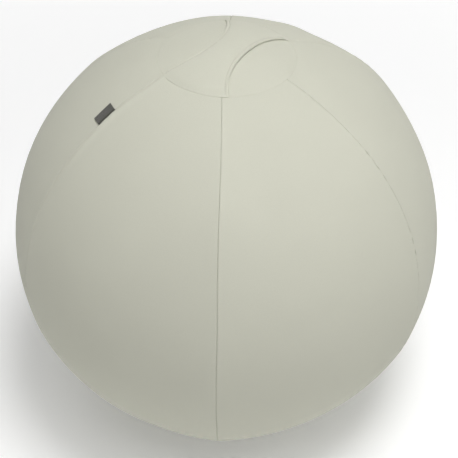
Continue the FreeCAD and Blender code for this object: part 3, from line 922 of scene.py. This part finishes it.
def panel_face(number, rows, hem, under):
    """One face of a panel: its points and its map. under is how far below the outer face it lies."""
    row_place, row_depth = (values[:, None] for values in rows)
    column_place, column_depth = hem
    polar = CAP_ANGLE + row_place / MEAN_RADIUS
    around = MEAN_RADIUS * np.sin(polar)
    first, last = seam_azimuth(number, polar), seam_azimuth(number + 1, polar)
    left = first + (column_place + setback(number, polar)) / around
    right = last - (column_place + setback(number + 1, polar)) / around
    step = np.linspace(-1, 1, MIDDLE_COLUMNS + 2)[1:-1]
    spread = 0.5 + 0.5 * np.sign(step) * np.abs(step) ** MIDDLE_CROWDS[number]
    middle = left[:, -1:] + spread * (right[:, -1:] - left[:, -1:])
    azimuth = np.concatenate([left, middle, right[:, ::-1]], axis=1)
    hems = []
    for seam in (number, number + 1):
        shallow = (column_depth - column_depth[-1]) * groove_share(polar, seam) + column_depth[-1]
        hems.append(np.where(column_depth < HEM_ROLL, shallow, column_depth))
    flat = np.full((len(polar), MIDDLE_COLUMNS), column_depth[-1])
    depth = row_depth - under + np.concatenate([hems[0], flat, hems[1][:, ::-1]], axis=1)
    for side, seam, turn in ((0, number, azimuth - first), (1, number + 1, last - azimuth)):
        distance = turn * around - setback(seam, polar)
        depth = depth + puckers(row_place, distance, seam, side) - seam_welt(polar, distance, seam, side)
        if seam % PANELS == ZIP_SEAM:
            channel = ridge(distance, CHANNEL_DEPTH, ZIP_STITCH_INSET, CHANNEL_WIDTH)
            depth = depth + zip_open(polar) * channel
    points = on_ball(polar, azimuth, cover_radius(polar, azimuth) - depth)
    return points, flat_map((azimuth - (first + last) / 2) * around, row_place)


def cover_panel(number, name):
    faces = zip(panel_rows(), turned_hem(), (0.0, CLOTH))
    (outer, uv), (inner, _) = (panel_face(number, *face) for face in faces)
    piece = shell("cover_" + name, outer, inner, uv, "cover_cloth")
    settle(piece, "ball", "panel_" + name)
    return piece


# Caps
def strap_room(azimuth):
    """The room that the top cap's edge leaves for the strap's ends."""
    away = np.minimum(np.abs(azimuth - pi / 2), np.abs(azimuth - 3 * pi / 2))
    under_strap = smooth((STRAP_END_ANGLE - away) / STRAP_END_EASE + 0.5)
    return under_strap * (RING_SQUEEZE * STRAP_ROLL + 2 * SEAM_GAP)


def top_surface(polar, azimuth, depth):
    return on_ball(polar, azimuth, cap_radius(polar, azimuth) - depth)


def base_surface(polar, azimuth, depth):
    """The base, seen from below: a round dish that is pressed flat where the ball stands."""
    polar, azimuth = np.broadcast_arrays(polar, azimuth)
    points = on_ball(pi - polar, azimuth, MEAN_RADIUS - depth)
    foot = np.broadcast_to(np.minimum(depth, BASE_CLOTH), polar.shape)
    above = points[..., 2] - foot
    points[..., 2] = foot + (above + np.sqrt(above**2 + FOOT_EASE**2)) / 2
    return points


def round_cap(name, node, slot, cloth, surface, room):
    """A round cap of the cover, in rows from its middle to its edge: room is what it leaves free at the
    ring."""
    azimuth = np.linspace(0, tau, RING_COLUMNS)
    arc = MEAN_RADIUS * CAP_ANGLE
    reach = CAP_ANGLE - room(azimuth) / MEAN_RADIUS
    faces = []
    for (place, depth), level in zip(rolled_edge(cloth + RING_SLACK, cloth), (0.0, cloth)):
        flat = np.linspace(arc, place[-1], CAP_ROWS)[:-1]
        share = 1 - np.append(flat, place[::-1])[:, None] / arc
        sunk = np.append(0 * flat + level, depth[::-1])[:, None]
        faces.append(surface(share * reach, azimuth, sunk))
    piece = shell(name, *faces, faces[0][..., :2], slot, rims=("last",))
    settle(piece, "ball", node)
    return piece


# Carry strap, in two halves: way is -1 for the front one and 1 for the rear one
def strap_half_width(y):
    return STRAP_WAIST_HALF + STRAP_ARC - np.sqrt(STRAP_ARC**2 - y**2)


def strap_place(share, inward, side):
    """Where the strap's point lies, seen from above: share runs from the ring to the middle, inward is the
    distance from the strap's long edge on one side."""
    y = RING_RADIUS * (1 - share)
    for _ in range(STRAP_ROUNDS):
        half = strap_half_width(y)
        part = (half - inward) / half
        y = np.sqrt(RING_RADIUS**2 - (part * STRAP_END_HALF) ** 2) * (1 - share)
    return side * part * half, -y, part


def strap_surface(way, share, x, y, part, lift):
    """A point of the strap: the cap below it, the strap's arch and a height above its underside."""
    rest = 1 - np.clip(share, 0, 1)
    shift = STRAP_END_SHIFTS[way] * rest**2 + STRAP_WAIST_SHIFT * smooth(share)
    x = -way * x
    y = -way * y
    y = way * np.sqrt(np.maximum(y**2 - 2 * x * shift * rest**2, 0))
    x = x + shift
    polar = np.arcsin(np.hypot(x, y) / BALL_RADIUS)
    azimuth = np.arctan2(y, x)
    rise = np.sin(pi / 2 * np.clip(share, 0, 1)) ** STRAP_ARCH_POWER
    arch = STRAP_ARCH * rise * (1 - STRAP_DROOP * part**2)
    return on_ball(polar, azimuth, cap_radius(polar, azimuth) + STRAP_LIFT + arch + lift)


def strap_fullness(share):
    """How thick the strap is, from its sewn end to its full thickness."""
    end = STRAP_END_THICKNESS / STRAP_THICKNESS
    return end + (1 - end) * smooth(share * RING_RADIUS / STRAP_THINNING)


def strap_heights(inward):
    """The heights of the strap's two faces: round edges, a fuller hem and a sewn channel."""
    half = STRAP_THICKNESS / 2
    level = 1 - np.clip(inward / half, 0, 1)
    round_half = np.maximum(half * np.sqrt(1 - level**2), STRAP_RIM)
    sewing = ridge(inward, *STRAP_BEAD) + ridge(inward, *STRAP_CHANNEL)
    return half + round_half + sewing, half - round_half


def strap_welt(way, side, share, inward):
    """How much fuller the strap's hem is along its front left edge."""
    if (way, side) != (-1, -1):
        return 0 * share * inward
    return smooth(2 - 2 * share / STRAP_WELT_END) * ridge(inward, *STRAP_WELT)


def strap_rows():
    """Rows from the tucked end to the middle: for both faces, the distance from the ring and the drop."""
    edges = rolled_edge(STRAP_ROLL, STRAP_END_THICKNESS)
    flat = np.linspace(edges[0][0][-1], RING_RADIUS, STRAP_ROWS)[1:]
    faces = []
    for (place, drop), under in zip(edges, (0.0, STRAP_END_THICKNESS)):
        drop[0] += STRAP_TUCK
        faces.append((np.append(place, flat), np.append(drop - under, 0 * flat)))
    return faces


def strap_face(way, face, rows):
    """One face of half the strap: its points and its map. Face 0 is the top, face 1 the underside."""
    row_place, row_drop = (values[:, None] for values in rows)
    share = row_place / RING_RADIUS
    edges = []
    for side in (-1, 1):
        x, y, part = strap_place(share, STRAP_EDGE, side)
        lift = strap_heights(STRAP_EDGE)[face] + 0 * x
        if face == 0:
            lift = lift + strap_welt(way, side, share, STRAP_EDGE)
        edges.append((x, y, part * side, lift))
    left, right = edges
    spread = np.linspace(0, 1, STRAP_MIDDLE_COLUMNS + 2)[1:-1]
    part = left[2][:, -1:] + spread * (right[2][:, -1:] - left[2][:, -1:])
    half = strap_half_width(left[1][:, -1:])
    reach = np.sqrt(RING_RADIUS**2 - (part * STRAP_END_HALF) ** 2)
    flat_lift = strap_heights(2 * STRAP_EDGE[-1])[face]
    middle = (part * half, -reach * (1 - share), part, np.full(part.shape, flat_lift))
    columns = []
    for first, between, last in zip(left, middle, right):
        columns.append(np.concatenate([first, between, last[:, ::-1]], axis=1))
    x, y, part, lift = columns
    lift = lift * strap_fullness(share) - row_drop
    return strap_surface(way, share, x, y, part, lift), np.stack([x, y], axis=-1)


def strap_stitches(name, way):
    share = np.linspace(STRAP_STITCH_START, 1.0, STRAP_STITCH_POINTS)
    inward = np.full(share.shape, STRAP_STITCH_INSET)
    lines = []
    for side in (-1, 1):
        x, y, part = strap_place(share, inward, side)
        lift = (strap_heights(inward)[0] + strap_welt(way, side, share, inward)) * strap_fullness(share)
        points = strap_surface(way, share, x, y, part, lift)
        lines.append((points, (points - CENTRE) / BALL_RADIUS))
    return stitches("strap_stitches_" + name, lines)


def strap_half(name, way, *nodes):
    """Half of the strap, from the ring to the middle, where the two halves meet."""
    (outer, uv), (inner, _) = (strap_face(way, face, rows) for face, rows in enumerate(strap_rows()))
    piece = shell("strap_" + name, outer, inner, uv, "strap_cloth")
    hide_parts(*nodes)
    sewing = strap_stitches(name, way)
    for part in (piece, sewing):
        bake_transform(part)
    return piece


# Label
def label_section():
    """Across the folded label, from its root on top round the fold and back: for both faces, the distance
    from the seam and the height above the panel."""
    run = np.linspace(LABEL_ROOT, LABEL_WIDTH - LABEL_FOLD, LABEL_RUN_STEPS)
    turn = np.linspace(pi / 2, -pi / 2, LABEL_FOLD_STEPS)[1:-1]
    faces = []
    for radius in (LABEL_FOLD, LABEL_FOLD - LABEL_CLOTH):
        place = np.concatenate([run, run[-1] + radius * np.cos(turn), run[::-1]])
        height = LABEL_FOLD + np.concatenate([0 * run + radius, radius * np.sin(turn), 0 * run - radius])
        faces.append((place, height))
    return faces


def label_face(along, place, height):
    """One face of the label: it dips into the seam at its root and curls up, most at its corners."""
    polar = LABEL_ANGLE + along / BALL_RADIUS
    azimuth = seam_azimuth(LABEL_SEAM, polar) - place / (BALL_RADIUS * np.sin(polar))
    corner = np.abs(along) / (LABEL_LENGTH / 2)
    bend = 1 - LABEL_CORNER_CURL + LABEL_CORNER_CURL * corner**2
    curl = LABEL_CURL * (place / LABEL_WIDTH) ** 2 * bend
    tuck = -LABEL_TUCK * bump(place, LABEL_TUCK_WIDTH)
    return on_ball(polar, azimuth, cover_radius(polar, azimuth) + LABEL_LIFT + curl + tuck + height)


def seam_label():
    along = np.linspace(-LABEL_LENGTH / 2, LABEL_LENGTH / 2, LABEL_ROWS)[:, None]
    section = label_section()
    outer, inner = (label_face(along, place, height) for place, height in section)
    piece = shell("label_cloth", outer, inner, flat_map(along, section[0][0]), "label_weave")
    settle(piece, "label", "seam_label")
    return piece


# Zip
def zip_point(polar, offset, radius):
    """A point by the zip: offset is the distance from the zip's middle towards the rear left panel."""
    polar, offset, radius = np.broadcast_arrays(polar, offset, radius)
    out = direction(polar, ZIP_AZIMUTH)
    return CENTRE + ZIP_ACROSS * offset[..., None] + out * np.sqrt(radius**2 - offset**2)[..., None]


def zip_tape_side(name, side):
    reach = 2 * ZIP_SLOT_END / BALL_RADIUS
    polar = np.linspace(ZIP_TOP - reach, ZIP_BASE + reach, TAPE_ROWS)[:, None]
    offset = np.linspace(*TAPE_EDGES, TAPE_COLUMNS) * side
    outer = zip_point(polar, offset, TAPE_OUTSIDE)
    inner = zip_point(polar, offset, TAPE_OUTSIDE - TAPE_THICKNESS)
    piece = shell("zip_tape_cloth_" + name, outer, inner, flat_map(offset, polar * BALL_RADIUS), "zip_tape")
    settle(piece, "ball", "zip_tape_" + name)
    return piece


def zip_coil_side(name, side):
    """One coil of the chain: a wire wound along the tape's edge, half a turn off the other side's."""
    stop = (STOP_LENGTH + COIL_WIRE) / BALL_RADIUS
    start, end = ZIP_TOP + stop, ZIP_BASE - stop
    turns = floor((end - start) * BALL_RADIUS / COIL_PITCH)
    turn = np.linspace(0, tau * turns, turns * COIL_STEPS)
    polar = start + turn / tau * COIL_PITCH / BALL_RADIUS
    near, far = COIL_REACH
    phase = turn + (pi if side > 0 else 0.0)
    half = (far - near) / 2 - COIL_WIRE
    offset = (near + far) / 2 + half * np.cos(phase)
    rise = (COIL_HEIGHT / 2 - COIL_WIRE) * np.sin(phase)
    path = zip_point(polar, offset * side, COIL_MIDDLE + rise)
    core = zip_point(polar, (near + far) / 2 * side, COIL_MIDDLE)
    piece = tubes("zip_coil_wire_" + name, [(path, path - core)], COIL_WIRE, COIL_SIDES, "zip_coil")
    return settle(piece, "ball", "zip_coil_" + name)


def zip_matrix(polar, radius):
    """The place of a small piece on the zip: its X points across the seam, its Y down it and its Z out."""
    out = Vector(direction(polar, ZIP_AZIMUTH))
    down = Vector(direction(polar + pi / 2, ZIP_AZIMUTH))
    across = down.cross(out)
    matrix = Matrix((across, down, out)).transposed().to_4x4()
    matrix.translation = Vector(CENTRE) + out * radius
    return matrix


def superellipse(half_width, half_length, squareness, taper=0.0, steps=OUTLINE_STEPS):
    turn = np.linspace(0, tau, steps, endpoint=False)
    x = np.sign(np.cos(turn)) * np.abs(np.cos(turn)) ** (2 / squareness)
    y = np.sign(np.sin(turn)) * np.abs(np.sin(turn)) ** (2 / squareness)
    return np.stack([x * (half_width - taper * y), y * half_length], axis=-1)


def pillow(outline, low, high, edge):
    """The points and faces of a plate with rounded edges: the outline, drawn in at its faces."""
    centre = outline.mean(axis=0)
    spread = np.abs(outline - centre).max(axis=0)
    rings = []
    for turn in np.linspace(-pi / 2, pi / 2, PILLOW_RINGS):
        inset = edge * (1 - cos(turn))
        height = (low + edge if turn < 0 else high - edge) + edge * sin(turn)
        ring = centre + (outline - centre) * (1 - inset / spread)
        rings.append(np.column_stack([ring, np.full(len(ring), height)]))
    index = np.arange(PILLOW_RINGS * len(outline)).reshape(PILLOW_RINGS, -1)
    wrapped = np.concatenate([index, index[:, :1]], axis=1)
    return np.concatenate(rings), grid_faces(wrapped).tolist() + [index[0].tolist(), index[-1].tolist()]


def metal_piece(name, body, node, polar, parts):
    """One metal piece on the zip, of several closed parts that are given by their points and faces."""
    matrix = zip_matrix(polar, BALL_RADIUS)
    points, faces = joined(parts)
    points = points @ np.array(matrix.to_3x3()).T + np.array(matrix.translation)
    return settle(build(name, points, faces, points[:, :2], "zip_metal"), body, node)


def zip_stops():
    """The two crimped stops at the top of the chain and the one across its end."""
    near, far = STOP_SIDES
    middle = STOP_LENGTH / 2 / BALL_RADIUS
    crimp = superellipse((far - near) / 2, STOP_LENGTH / 2, STOP_SQUARENESS)
    tops = [pillow(crimp + [side * (near + far) / 2, 0], *STOP_HEIGHTS, STOP_EDGE) for side in (-1, 1)]
    metal_piece("zip_top_crimps", "ball", "zip_top_stops", ZIP_TOP + middle, tops)
    bar = pillow(superellipse(far, STOP_LENGTH / 2, STOP_SQUARENESS), *STOP_HEIGHTS, STOP_EDGE)
    metal_piece("zip_end_crimp", "ball", "zip_bottom_stop", ZIP_BASE - middle, [bar])


def slider_bail():
    """A flat loop over the pull's pin, with both feet in the plate."""
    radius = BAIL_HOLE + BAIL_WALL / 2
    turn = np.linspace(0, pi, BAIL_STEPS)
    arch = np.column_stack([0 * turn, -radius * np.cos(turn), BAIL_AXIS + radius * np.sin(turn)])
    foot = SLIDER_HIGH + SLIDER_PLATE / 2
    path = np.concatenate([[[0, -radius, foot]], arch, [[0, radius, foot]]])
    return tube_parts(path, path - [0, 0, BAIL_AXIS], (BAIL_WIDTH / 2, BAIL_WALL / 2), BAIL_SIDES)


def zip_slider():
    """Two plates joined by a web, with a crown and rails on the upper one and the pull's bail over it."""
    low_middle = SLIDER_LOW + SLIDER_PLATE / 2
    high_middle = SLIDER_HIGH + SLIDER_PLATE / 2
    top = SLIDER_HIGH + SLIDER_PLATE
    plate = superellipse(SLIDER_WIDTH_HALF, SLIDER_HALF, SLIDER_SQUARENESS, SLIDER_TAPER)
    rail = superellipse(RAIL_HALF, SLIDER_HALF * RAIL_SHARE, RAIL_SQUARENESS)
    web = superellipse(WEB_HALF, WEB_LENGTH / 2, WEB_SQUARENESS) + [0, -SLIDER_HALF + WEB_LENGTH]
    parts = [
        pillow(plate, SLIDER_LOW, SLIDER_LOW + SLIDER_PLATE, edge=0.35 * MM),
        pillow(plate, SLIDER_HIGH, top, edge=0.4 * MM),
        pillow(plate * CROWN_SHARE, high_middle, top + CROWN_HEIGHT, edge=0.33 * MM),
    ]
    for side in (-1, 1):
        beside = rail + [side * (SLIDER_WIDTH_HALF - RAIL_HALF), 0]
        parts.append(pillow(beside, SLIDER_HIGH - RAIL_DROP, high_middle, edge=0.2 * MM))
    parts.append(pillow(web, low_middle, high_middle, edge=0.15 * MM))
    parts.append(slider_bail())
    return metal_piece("zip_slider_body", "zip_slider", "zip_slider", SLIDER_POLAR, parts)


def arc_points(centre, radius, start, end, steps):
    turn = np.linspace(start, end, steps)
    return np.stack([centre[0] + radius * np.cos(turn), centre[1] + radius * np.sin(turn)], axis=-1)


def pull_outlines():
    """The pull, seen flat: its waisted outline, notched at the bail, the bail's slot and the end hole."""
    half = PULL_WIDTH / 2
    straight = PULL_LENGTH - half
    round_end = arc_points((0, straight), half, 0, pi, PULL_END_STEPS)
    waist_y = np.linspace(PULL_SLOT[1] + PULL_WAIST_END, straight - PULL_WAIST_END, PULL_WAIST_STEPS)
    middle = (waist_y[0] + waist_y[-1]) / 2
    turn = (waist_y - middle) / (waist_y[-1] - waist_y[0]) * pi
    right = np.column_stack([half - PULL_WAIST * np.cos(turn) ** 2, waist_y])
    left = (right * [-1, 1])[::-1]
    eye = PULL_EYE - PULL_EDGE
    corner = half - eye
    left_eye = arc_points((-corner, 0), eye, pi, 1.5 * pi, PULL_EYE_STEPS)
    right_eye = arc_points((corner, 0), eye, 1.5 * pi, 2 * pi, PULL_EYE_STEPS)
    notch = np.array([[-1, -eye], [-1, -PULL_HALF], [1, -PULL_HALF], [1, -eye]]) * [PULL_SLOT_HALF, 1]
    outline = np.concatenate([right, round_end, left, left_eye, notch, right_eye])
    near, far = PULL_SLOT
    slot = superellipse(PULL_SLOT_HALF, (far - near) / 2, PULL_SLOT_SQUARENESS, steps=PULL_HOLE_STEPS)
    hole = arc_points((0, straight), PULL_HOLE, 0, tau, PULL_HOLE_STEPS + 1)[:-1]
    return [outline, slot + [0, (near + far) / 2], hole]


def pull_lean(matrix):
    """The turn about the pin that lays the pull where its node is. matrix is the pin's place."""
    to_pin = matrix.inverted()
    local = [to_pin @ Vector(point) for point in node_points("zip_pull")]
    tip = max(point.y for point in local)
    heel = [point for point in local if point.y > tip - PULL_WIDTH / 2]
    return atan2(sum(point.z for point in heel) / len(heel), sum(point.y for point in heel) / len(heel))


def zip_pull():
    curve = bpy.data.curves.new("zip_pull_outline", "CURVE")
    curve.dimensions = "2D"
    curve.fill_mode = "BOTH"
    curve.extrude = PULL_HALF - PULL_EDGE
    curve.bevel_depth = PULL_EDGE
    curve.bevel_resolution = PULL_BEVEL_STEPS
    for outline in pull_outlines():
        spline = curve.splines.new("POLY")
        spline.points.add(len(outline) - 1)
        flat = np.column_stack([outline, np.zeros(len(outline)), np.ones(len(outline))])
        spline.points.foreach_set("co", flat.ravel())
        spline.use_cyclic_u = True
    drawn = link("zip_pull_outline", curve)
    bpy.context.view_layer.update()
    mesh = bpy.data.meshes.new_from_object(drawn.evaluated_get(bpy.context.evaluated_depsgraph_get()))
    bpy.data.objects.remove(drawn)
    for vertex in mesh.vertices:
        vertex.co.z += PULL_BEND * max(vertex.co.y / PULL_LENGTH, 0.0) ** 2
    pin = zip_matrix(SLIDER_POLAR, BALL_RADIUS + BAIL_AXIS)
    mesh.transform(pin @ Matrix.Rotation(pull_lean(pin), 4, "X"))
    mesh.name = "zip_pull_tab"
    weld(mesh)
    mesh.materials.clear()
    mesh.materials.append(LOOKS["zip_metal"])
    piece = link("zip_pull_tab", mesh)
    return settle(piece, "zip_pull", "zip_pull")


def zip_stitches():
    """The sewing that holds the tapes: a row of stitches on each panel beside the zip."""
    margin = ZIP_TAPER / BALL_RADIUS
    polar = np.linspace(ZIP_TOP - margin / 2, ZIP_BASE + margin / 2, ZIP_STITCH_POINTS)
    inset = ZIP_STITCH_INSET + setback(ZIP_SEAM, polar)
    along = (polar - CAP_ANGLE) * MEAN_RADIUS
    lines = []
    for side, seam_side in ((-1, 1), (1, 0)):
        azimuth = ZIP_AZIMUTH + side * inset / (MEAN_RADIUS * np.sin(polar))
        sunk = CHANNEL_DEPTH * zip_open(polar) + puckers(along, ZIP_STITCH_INSET, ZIP_SEAM, seam_side)
        radius = cover_radius(polar, azimuth) - sunk
        lines.append((on_ball(polar, azimuth, radius), direction(polar, azimuth)))
    return settle(stitches("zip_stitches", lines), "ball")


# Sewing thread inside the seams
def thread_piece(name, node, paths):
    return settle(tubes(name, paths, THREAD_RADIUS, THREAD_SIDES, "thread"), "ball", node)


def seam_threads():
    first = CAP_ANGLE + HEM_WIDTH / 2 / BALL_RADIUS
    last = BASE_ANGLE - HEM_WIDTH / 2 / BALL_RADIUS
    slot = ZIP_SLOT_END / BALL_RADIUS
    paths = []
    for seam in range(PANELS):
        stretches = [(first, last)]
        if seam == ZIP_SEAM:
            stretches = [(first, ZIP_TOP - slot), (ZIP_BASE + slot, last)]
        for start, end in stretches:
            polar = np.linspace(start, end, round((end - start) * BALL_RADIUS / THREAD_STEP))
            azimuth = seam_azimuth(seam, polar)
            points = on_ball(polar, azimuth, cover_radius(polar, azimuth) - THREAD_DEPTH)
            paths.append((points, direction(polar, azimuth)))
    return thread_piece("seam_threads", "panel_seam_threads", paths)


def ring_thread(name, node, polar):
    azimuth = np.linspace(0, tau, RING_COLUMNS)
    points = on_ball(polar, azimuth, MEAN_RADIUS - THREAD_DEPTH)
    return thread_piece(name, node, [(points, direction(polar, azimuth))])


# Bladder and ballast
def bladder():
    """The inflated bladder: it follows the cover, and is pressed flat on the ballast."""
    polar = np.linspace(0, pi, BLADDER_ROWS)[:, None]
    azimuth = np.linspace(0, tau, BLADDER_COLUMNS)
    low = CENTRE[2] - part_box("bladder")[0].z
    under_cap = cap_radius(np.minimum(polar, CAP_ANGLE), azimuth)
    free = np.where(polar < CAP_ANGLE, under_cap, cover_radius(polar, azimuth))
    faces = []
    for wall in (0.0, BLADDER_WALL):
        flat = (low - wall) / np.maximum(-np.cos(polar), LEAST_COSINE)
        faces.append(on_ball(polar, azimuth, np.minimum(free - (BLADDER_INSET + wall), flat)))
    uv = flat_map(azimuth * MEAN_RADIUS, polar * MEAN_RADIUS)
    piece = shell("bladder_skin", *faces, uv, "bladder_vinyl", rims=())
    return settle(piece, "ball", "bladder")


def ballast_pouch():
    """The sand bag in the base: full, with its rim drawn into small folds."""
    low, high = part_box("ballast_pouch")
    azimuth = np.linspace(0, tau, BLADDER_COLUMNS)
    turn = np.linspace(0, pi, POUCH_ROWS)[:, None]
    level = np.sign(np.cos(turn)) * np.abs(np.cos(turn)) ** POUCH_FLATNESS
    folds = POUCH_RIPPLE * (1 + np.cos(POUCH_RIPPLES * azimuth)) / 2 * np.sin(turn) ** POUCH_RIPPLE_POWER
    faces = []
    for skin in (0.0, POUCH_SKIN):
        height = (low.z + high.z) / 2 - ((high.z - low.z) / 2 - skin) * level
        limit = np.sqrt((BALL_RADIUS - BLADDER_INSET) ** 2 - (CENTRE[2] - height) ** 2) - skin
        reach = limit * np.sin(turn) ** POUCH_FULLNESS - folds
        places = np.broadcast_arrays(reach * np.cos(azimuth), reach * np.sin(azimuth), height)
        faces.append(np.stack(places, axis=-1))
    piece = shell("pouch_bag", *faces, faces[0][..., :2], "pouch_cloth", rims=())
    settle(piece, "ball", "ballast_pouch")
    return piece


def kept_nodes():
    """Finishes for the nodes whose own shape is kept."""
    finishes = {"valve_insert": "valve_plastic", "valve_plug": "valve_plastic", "ballast_fill": "sand"}
    for node, slot in finishes.items():
        mesh = NODES[node].data
        mesh.materials.clear()
        mesh.materials.append(LOOKS[slot])


# Camera, floor and light
def add_camera():
    data = bpy.data.cameras.new("camera")
    data.sensor_width = SENSOR_WIDTH
    data.lens = FOCAL_PIXELS / PHOTO_SIDE * SENSOR_WIDTH
    data.shift_x = 0.5 - BALL_PIXEL[0] / PHOTO_SIDE
    data.shift_y = BALL_PIXEL[1] / PHOTO_SIDE - 0.5
    camera = link("camera", data)
    level = cos(CAMERA_ELEVATION)
    back = Vector((sin(CAMERA_AZIMUTH) * level, -cos(CAMERA_AZIMUTH) * level, sin(CAMERA_ELEVATION)))
    camera.rotation_mode = "QUATERNION"
    camera.rotation_quaternion = back.to_track_quat("Z", "Y") @ Quaternion((0, 0, 1), CAMERA_ROLL)
    camera.location = Vector(CENTRE) + back * CAMERA_DISTANCE
    bpy.context.scene.camera = camera
    return camera


def add_floor():
    square = ((-1, -1), (1, -1), (1, 1), (-1, 1))
    corners = [(x * FLOOR_HALF, y * FLOOR_HALF, -FLOOR_DROP) for x, y in square]
    mesh = bpy.data.meshes.new("floor")
    mesh.from_pydata(corners, [], [(0, 1, 2, 3)])
    mesh.materials.append(LOOKS["floor"])
    link("floor", mesh)


def add_light(camera):
    """A white surround and large soft boxes."""
    world = bpy.data.worlds.new("studio")
    world.use_nodes = True
    tree = world.node_tree
    surround = tree.nodes["Background"]
    surround.inputs["Color"].default_value = WHITE + (1.0,)
    way = add_node(tree, "ShaderNodeTexCoord", {}).outputs["Generated"]
    height = add_node(tree, "ShaderNodeSeparateXYZ", {0: way}).outputs[2]
    strength = eased(tree, height, 0.0, WORLD_EASE, WORLD_LOW, WORLD_HIGH)
    tree.links.new(strength, surround.inputs["Strength"])
    bpy.context.scene.world = world
    for name, (place, distance, size, power) in SOFT_BOXES.items():
        data = bpy.data.lights.new(name, "AREA")
        data.shape = "DISK"
        data.size = size
        data.energy = power
        box = link(name, data)
        way = (camera.rotation_quaternion @ Vector(place)).normalized()
        box.location = Vector(CENTRE) + way * distance
        box.rotation_mode = "QUATERNION"
        box.rotation_quaternion = way.to_track_quat("Z", "Y")
    bpy.context.scene.view_settings.view_transform = "Standard"


def main():
    camera = add_camera()
    for number, name in enumerate(PANEL_NAMES):
        cover_panel(number, name)
    round_cap("cap_cloth", "top_cap", "cover_cloth", CLOTH, top_surface, strap_room)
    round_cap("base_cloth", "base_cap", "base_cloth", BASE_CLOTH, base_surface, np.zeros_like)
    strap_half("front", -1, "handle_front_end", "handle_grip")
    strap_half("rear", 1, "handle_rear_end")
    seam_label()
    for name, side in (("left", 1), ("right", -1)):
        zip_tape_side(name, side)
        zip_coil_side(name, side)
    zip_stops()
    zip_slider()
    zip_pull()
    zip_stitches()
    seam_threads()
    ring_thread("cap_thread", "cap_seam_thread", CAP_ANGLE)
    ring_thread("base_thread", "base_seam_thread", BASE_ANGLE)
    bladder()
    ballast_pouch()
    kept_nodes()
    add_floor()
    add_light(camera)


main()
